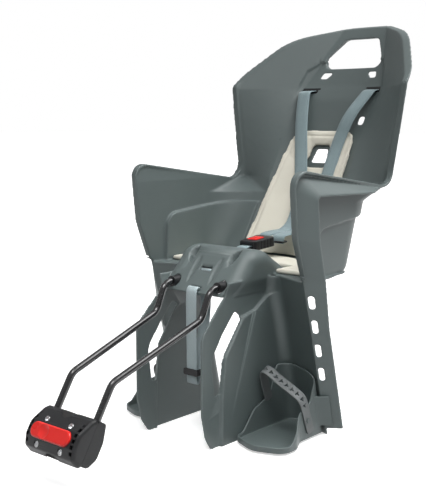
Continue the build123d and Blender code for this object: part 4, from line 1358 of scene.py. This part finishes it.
@dataclass
class Pads:
    """Foam pads on the back and the pan, swelled by a cloth simulation.

    Attributes:
        voxel: Size of the remesh.
        inset: How far a pad is shrunk before it swells.
        cap: Farthest that a point may move as it swells.
        pressure: Pressure inside the foam's skin.
        frames: Frames of the simulation.
        seam: How far inside the edge the pressed line runs, in millimetres.
        press: Depth of that line, in metres.
        back_sides: Heights and half widths of the back pad, in millimetres.
        window: Half width, middle height and half height of its window, in millimetres.
    """

    voxel: float = 0.004
    inset: float = 0.0012
    cap: float = 0.0035
    pressure: float = 4.0
    frames: int = 20
    seam: float = 11.0
    press: float = 0.0014
    back_sides: Line = ((302.6, 548.0), (97.0, 76.0))
    window: Place = (16.0, 495.5, 13.0)

    def build(self, shop: Workshop) -> list[bpy.types.Object]:
        """Build and dress both pads.

        Args:
            shop: Shared mesh work.

        Returns:
            The pads.
        """
        made = []
        for node, back in PAD_BACKS.items():
            pad = shop.copy(node, f"foam_{node}")
            self._swell(shop, pad, np.array(back))
            PAD.dress(pad)
            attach(pad, Body.SEAT.value)
            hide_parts(node)
            made.append(pad)
        return made

    def _swell(self, shop: Workshop, pad: bpy.types.Object, back: np.ndarray) -> None:
        """Swell a pad from a slightly smaller shape, held where it lies on the shell.

        Args:
            shop: Shared mesh work.
            pad: Pad to swell.
            back: Direction of the face that lies on the shell.
        """
        shop.remesh(pad, self.voxel)
        shop.settle(pad)
        points, normals = shop.points(pad), shop.normals(pad)
        held = normals @ back > 0.35
        start = points - normals * self.inset * ~held[:, None]
        shop.move(pad, start)
        group = pad.vertex_groups.new(name="held")
        group.add([int(i) for i in np.flatnonzero(held)], 1.0, "REPLACE")
        cloth = pad.modifiers.new("cloth", "CLOTH")
        cloth.settings.use_pressure = True
        cloth.settings.uniform_pressure_force = self.pressure
        cloth.settings.vertex_group_mass = group.name
        cloth.settings.effector_weights.gravity = 0.0
        cloth.point_cache.frame_end = self.frames
        for frame in range(1, self.frames + 1):
            bpy.context.scene.frame_set(frame)
        shop.settle(pad)
        moved = shop.points(pad) - start
        far = np.linalg.norm(moved, axis=1, keepdims=True)
        shop.move(pad, start + moved * np.minimum(1.0, self.cap / np.maximum(far, LEAST)))
        bpy.context.scene.frame_set(1)
        finer = pad.modifiers.new("finer", "SUBSURF")
        finer.levels = finer.render_levels = 1
        shop.settle(pad)
        pad.vertex_groups.clear()
        pad.data.shade_smooth()
        self._press_seam(shop, pad, back)

    def _press_seam(self, shop: Workshop, pad: bpy.types.Object, back: np.ndarray) -> None:
        """Press a line into the open face of a pad, just inside its edge.

        Args:
            shop: Shared mesh work.
            pad: Pad to press.
            back: Direction of the face that lies on the shell.
        """
        points, normals = shop.points(pad), shop.normals(pad)
        x, y, z = shop.drawn(points).T
        if pad.name.endswith("back_pad"):
            half = np.interp(z, *self.back_sides)
            edge = np.minimum(half - np.abs(x), self.back_sides[0][-1] - z)
            wide, middle, tall = self.window
            beside = np.maximum(np.abs(x) - wide, 0.0)
            window = np.hypot(beside, np.maximum(np.abs(z - middle) - tall, 0.0))
            edge = np.where(window < 20.0, np.minimum(edge, window + 2.0), edge)
        else:
            edge = np.minimum(np.abs(x).max() - np.abs(x), y - y.min())
        line = np.exp(-(((edge - self.seam) / 2.2) ** 2))
        open_face = np.clip(-(normals @ back) * 2.0 - 0.6, 0.0, 1.0)
        shop.move(pad, points - normals * (self.press * line * open_face)[:, None])


@dataclass
class Harness:
    """Shoulder straps, crotch strap and safety strap, with the buckle.

    Attributes:
        shoulder_width: Width of the shoulder webbing.
        safety_width: Width of the crotch and safety webbing.
        thick: Thickness of all webbing.
        buckle_steps: Steps along the buckle in which its sides are shaped.
        buckle_edge: Rounding of the buckle's edges.
        waist: Places along the buckle, and the share of its width that is left there.
        fitting_edge: Rounding of the small fittings' edges.
        stitch_in: Rows of stitches from the edge of the webbing.
        stitch_ends: Lengths without stitches at the start and end of a strap.
    """

    shoulder_width: float = 0.030
    safety_width: float = 0.025
    thick: float = 0.0016
    buckle_steps: int = 48
    buckle_edge: float = 0.0012
    waist: Line = ((0.0, 0.12, 0.45, 0.78, 1.0), (0.74, 0.86, 0.92, 1.0, 1.0))
    fitting_edge: float = 0.0008
    stitch_in: float = 0.0035
    stitch_ends: Pair = (0.03, 0.02)

    def build(self, shop: Workshop, repeats: Repeats) -> list[bpy.types.Object]:
        """Build and dress the harness.

        Args:
            shop: Shared mesh work.
            repeats: Trees for the stitches.

        Returns:
            The straps, their stitches and the buckle's housing.
        """
        made = []
        across = Vector((1, 0, 0))
        for side in Side:
            node = f"shoulder_strap_{side.tag}"
            route = [shop.at(*place) for place in self._shoulder_route(side)]
            ribbon = Ribbon(f"webbing_{node}", route, self.shoulder_width, self.thick, across)
            made.append(self._lay(shop, ribbon, node, WEBBING))
            made.append(self._stitch(shop, repeats, ribbon, f"stitches_{node}"))
        for node, places, finish in (
            ("crotch_strap", self._crotch_route(), WEBBING),
            # The safety strap takes the webbing painted lighter, as painted light in the shade
            # between the legs.
            ("safety_strap", self._safety_route(), SAFETY_WEBBING_PAINTED_LIGHTER),
        ):
            route = [shop.at(0, y, z) for y, z in places]
            ribbon = Ribbon(f"webbing_{node}", route, self.safety_width, self.thick, across)
            made.append(self._lay(shop, ribbon, node, finish))
        for node in ("buckle_tongue", "ladder_lock", "strap_bar_left", "strap_bar_right"):
            BLACK_PLASTIC.dress(shop.nodes[node])
            shop.soften(node, self.fitting_edge)
        RED_PLASTIC.dress(shop.nodes["buckle_button"])
        made.append(self._buckle(shop))
        return made

    def _buckle(self, shop: Workshop) -> bpy.types.Object:
        """Round the buckle's housing and draw in its waist, between two finger grips.

        Args:
            shop: Shared mesh work.

        Returns:
            The housing.
        """
        body = shop.copy("buckle_housing", "moulded_buckle")
        shop.slice(body, 1, self.buckle_steps)
        shop.round_edges(body, self.buckle_edge, segments=3)
        at = shop.drawn(shop.points(body))
        x, y = at[:, 0], at[:, 1]
        along = (y - y.min()) / np.ptp(y)
        waist = np.interp(along, *self.waist)
        ridge = 1.0 - 0.035 * (np.sin(along * 46.0) > 0.2) * (np.abs(along - 0.5) < 0.24)
        outer = ease(np.abs(x), 15.0, 21.0)
        at[:, 0] = x * (1.0 + outer * (waist * ridge - 1.0))
        shop.move(body, shop.framed(at))
        shop.mark_rub(body)
        BLACK_PLASTIC.dress(body)
        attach(body, Body.SEAT.value)
        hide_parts("buckle_housing")
        return body

    @staticmethod
    def _shoulder_route(side: Side) -> list[tuple[float, float, float]]:
        """Control points of one shoulder strap, which hangs to the child's left, in the drawing."""
        edge = side.value * 80
        top = [(edge, 516, 631.5), (edge, 498, 630.5), (side.value * 79, 490, 624)]
        if side is Side.LEFT:
            hang = [(60, 455, 580), (45, 440, 529), (46, 402, 465), (52, 361, 400), (46, 320, 354)]
        else:
            hang = [(-60, 454, 559), (-22, 405, 465), (2, 364, 400), (14, 320, 354)]
        slot = side.value * 16
        return [*top, *hang, (slot + 2, 288, 348), (slot, 275, 344), (slot, 275, 331)]

    @staticmethod
    def _crotch_route() -> list[tuple[float, float]]:
        """Control points of the crotch strap as (y, z), in the drawing."""
        return [(180.2, 311), (180.2, 326), (184, 331.8), (202, 332.4)]

    @staticmethod
    def _safety_route() -> list[tuple[float, float]]:
        """Control points of the safety strap as (y, z), in the drawing."""
        return [
            (57, 258),
            (53, 274),
            (46, 274),
            (41, 262),
            (43, 150),
            (43.2, 97),
            (47, 95.5),
            (50.8, 97),
            (79, 203),
            (83.2, 280),
            (83.2, 303),
        ]

    def _lay(self, shop: Workshop, ribbon: Ribbon, node: str, finish: Finish) -> bpy.types.Object:
        """Build one strap in the place of its node.

        Args:
            shop: Shared mesh work.
            ribbon: The strap.
            node: Name of the CAD node that it stands for.
            finish: Finish of the webbing.

        Returns:
            The strap.
        """
        strap = ribbon.build(shop)
        finish.dress(strap)
        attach(strap, Body.SEAT.value)
        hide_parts(node)
        return strap

    def _stitch(
        self, shop: Workshop, repeats: Repeats, ribbon: Ribbon, name: str
    ) -> bpy.types.Object:
        """Sew rows of stitches along both edges of a strap.

        Args:
            shop: Shared mesh work.
            repeats: Trees for the stitches.
            ribbon: The strap.
            name: Name of the stitches.

        Returns:
            The stitches.
        """
        line, across, out, run = ribbon.frames(shop)
        start, end = self.stitch_ends
        keep = (run > start) & (run < run[-1] - end)
        margin = ribbon.width / 2 - self.stitch_in
        points, edges = [], []
        for edge in (-1, 1):
            for face in (-1, 1):
                row = (line + edge * margin * across + face * ribbon.thick / 2 * out)[keep]
                edges += [(len(points) + i, len(points) + i + 1) for i in range(len(row) - 1)]
                points += list(row)
        rows = shop.wire(name, points, edges)
        repeats.grow(rows, "stitch_rows", THREAD, Pitch=0.0034, Length=0.0025, Girth=0.0006)
        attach(rows, Body.SEAT.value)
        return rows


@dataclass
class Carrier:
    """Two bent bars and the clamp that holds them under the pan."""

    def build(self, shop: Workshop) -> None:
        """Dress the bars, bushes and clamp.

        Args:
            shop: Shared mesh work.
        """
        for side in Side:
            BLACK_BAR.dress(shop.nodes[f"carrier_bar_{side.tag}"])
            BLACK_PLASTIC.dress(shop.nodes[f"bar_bush_{side.tag}"])
        for node in ("clamp_plate", "clamp_screws"):
            STEEL.dress(shop.nodes[node])


@dataclass
class TubeBlock:
    """Block that grips the seat tube, with its release button.

    Attributes:
        lean: Lean of the seat tube, in degrees.
        ring: Radius of the bright ring on each screw.
        girth: Half thickness of that ring.
        middle: Middle of the block on the tube's axis, in the drawing.
        screw_x: Screws to the left and right of the middle, in millimetres.
        screw_rise: Screws above and below the middle, in millimetres.
        screw_ahead: Front of the screw heads before the middle, in millimetres.
        edge: Rounding of the edges of both halves.
    """

    lean: float = 32.0
    ring: float = 0.0043
    girth: float = 0.0008
    middle: tuple[float, float, float] = (0.0, -253.06, 75.05)
    screw_x: float = 28.5
    screw_rise: tuple[float, float] = (15.5, -26.0)
    screw_ahead: float = 24.2
    edge: float = 0.0012

    def build(self, shop: Workshop, repeats: Repeats) -> list[bpy.types.Object]:
        """Build and dress the block.

        Args:
            shop: Shared mesh work.
            repeats: Trees for the screw rings.

        Returns:
            The new pieces.
        """
        for node in ("block_casing", "block_jaw"):
            BLACK_PLASTIC.dress(shop.nodes[node])
            shop.soften(node, self.edge)
        for node in ("block_screws", "block_nuts", "latch_left", "latch_right"):
            STEEL.dress(shop.nodes[node])
        for node in ("liner_front", "liner_rear"):
            RUBBER.dress(shop.nodes[node])
        RED_PLASTIC.dress(shop.nodes["release_button"])
        return [self._rings(shop, repeats)]

    def _rings(self, shop: Workshop, repeats: Repeats) -> bpy.types.Object:
        """Set a bright turned ring on the head of each screw.

        Args:
            shop: Shared mesh work.
            repeats: Tree for the rings.

        Returns:
            The rings.
        """
        lean = math.radians(self.lean)
        up = Vector((0.0, math.sin(lean), math.cos(lean)))
        ahead = Vector((0.0, -math.cos(lean), math.sin(lean)))
        middle = shop.at(*self.middle)
        spots = []
        for x in (-self.screw_x, self.screw_x):
            for rise in self.screw_rise:
                away = Vector((x, 0, 0)) + up * rise + ahead * self.screw_ahead
                spots.append(middle + away * MM)
        rings = shop.wire("screw_rings", spots, [])
        facing = rings.data.attributes.new("facing", "FLOAT_VECTOR", "POINT")
        facing.data.foreach_set("vector", [value for _ in spots for value in ahead])
        repeats.grow(rings, "screw_rings", STEEL, Radius=self.ring, Girth=self.girth)
        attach(rings, Body.SEAT.value)
        return rings


@dataclass
class Footrest:
    """One footrest with its strap and stud.

    Attributes:
        side: Which foot it carries.
        voxel: Size of the remesh.
        rounds: Rounds of smoothing.
        limit: Most triangles.
        strap_wide: Width of the strap.
        strap_thick: Thickness of the strap.
        strap_edge: Rounding of its edges.
        first_hole: First hole, from the end on the inner wall.
        hole_pitch: From one hole to the next.
        hole_count: Number of holes.
        bend_steps: Steps along the strap in which it bends.
        instep: Slope of the instep that the strap lies on, in radians.
        hole: Outline of one T-shaped hole, along and across the strap, in millimetres.
        sharp: Least angle of an edge that is rounded, in degrees.
    """

    side: Side
    voxel: float = 0.0012
    rounds: int = 4
    limit: int = 90000
    strap_wide: float = 0.020
    strap_thick: float = 0.0025
    strap_edge: float = 0.0004
    first_hole: float = 0.062
    hole_pitch: float = 0.0125
    hole_count: int = 10
    bend_steps: int = 90
    instep: float = 0.42
    hole: tuple[Pair, ...] = (
        (-3.4, -4.4),
        (-0.6, -4.4),
        (-0.6, -1.5),
        (3.4, -1.5),
        (3.4, 1.5),
        (-0.6, 1.5),
        (-0.6, 4.4),
        (-3.4, 4.4),
    )
    sharp: float = 50.0

    def build(self, shop: Workshop, repeats: Repeats) -> list[bpy.types.Object]:
        """Build and dress the footrest.

        Args:
            shop: Shared mesh work.
            repeats: Tree for the strap.

        Returns:
            The new pieces.
        """
        tag = self.side.tag
        body = Body.foot(self.side).value
        scoop = shop.copy(f"footrest_{tag}", f"foot_scoop_{tag}")
        shop.skin(scoop, self.voxel, self.rounds)
        shop.thin(scoop, self.limit)
        shop.mark_rub(scoop)
        SHELL.dress(scoop)
        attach(scoop, body)
        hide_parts(f"footrest_{tag}")
        SHELL.dress(shop.nodes[f"strap_stud_{tag}"])
        return [scoop, self._strap(shop, repeats)]

    def _strap(self, shop: Workshop, repeats: Repeats) -> bpy.types.Object:
        """Make the perforated rubber strap flat, then bend it over the foot's place.

        Args:
            shop: Shared mesh work.
            repeats: Tree for the strap and its holes.

        Returns:
            The strap.
        """
        tag, sign = self.side.tag, self.side.value
        route = [shop.at(sign * x, y, z) for x, y, z in self._strap_route()]
        slope = Vector((0, math.cos(self.instep), math.sin(self.instep))) * sign
        path = Ribbon("path", route, self.strap_wide, self.strap_thick, slope)
        line, across, out, run = path.frames(shop)
        corners = [(u * MM, v * MM, 0.0) for u, v in self.hole]
        sides = [(i, (i + 1) % len(corners)) for i in range(len(corners))]
        strap = shop.wire(f"rubber_strap_{tag}", corners, sides)
        start = self.first_hole - run[-1] / 2
        repeats.grow(
            strap,
            "perforated_strap",
            STRAP_RUBBER,
            Length=float(run[-1]),
            Width=self.strap_wide,
            Thick=self.strap_thick,
            Pitch=self.hole_pitch,
            Start=float(start),
            Count=float(self.hole_count),
        )
        shop.slice(strap, 0, self.bend_steps)
        flat = shop.points(strap)
        place = np.clip(flat[:, 0] + run[-1] / 2, 0.0, run[-1])
        bent = []
        for field in (line, across, out):
            bent.append(np.stack([np.interp(place, run, part) for part in field.T], axis=1))
        bent[1] *= flat[:, 1:2]
        bent[2] *= flat[:, 2:3] - self.strap_thick / 2
        shop.move(strap, bent[0] + bent[1] + bent[2])
        shop.round_edges(strap, self.strap_edge, segments=1, angle=self.sharp)
        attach(strap, Body.foot(self.side).value)
        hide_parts(f"foot_strap_{tag}")
        return strap

    @staticmethod
    def _strap_route() -> list[tuple[float, float, float]]:
        """Control points of the left foot strap, in the drawing."""
        return [
            (92.6, 153, 60),
            (92.6, 137, 100),
            (95, 129, 122),
            (108, 127, 125),
            (136, 130, 107),
            (164, 131, 94),
            (180.5, 135, 82),
            (181.6, 142, 60),
            (181.6, 160, 15),
        ]


def main() -> None:
    """Build every sub-assembly in order and report its pieces."""
    logging.basicConfig(level=logging.INFO, format="%(name)s: %(message)s")
    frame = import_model()
    shop = Workshop(frame["nodes"])
    repeats = Repeats(shop)
    Studio().build(shop)
    made = [SeatShell().build(shop)]
    made += Pads().build(shop)
    made += Harness().build(shop, repeats)
    Carrier().build(shop)
    made += TubeBlock().build(shop, repeats)
    for side in Side:
        made += Footrest(side).build(shop, repeats)
    for piece in made:
        LOG.info("%s: %d faces", piece.name, len(piece.data.polygons))


if __name__ == "__main__":
    main()
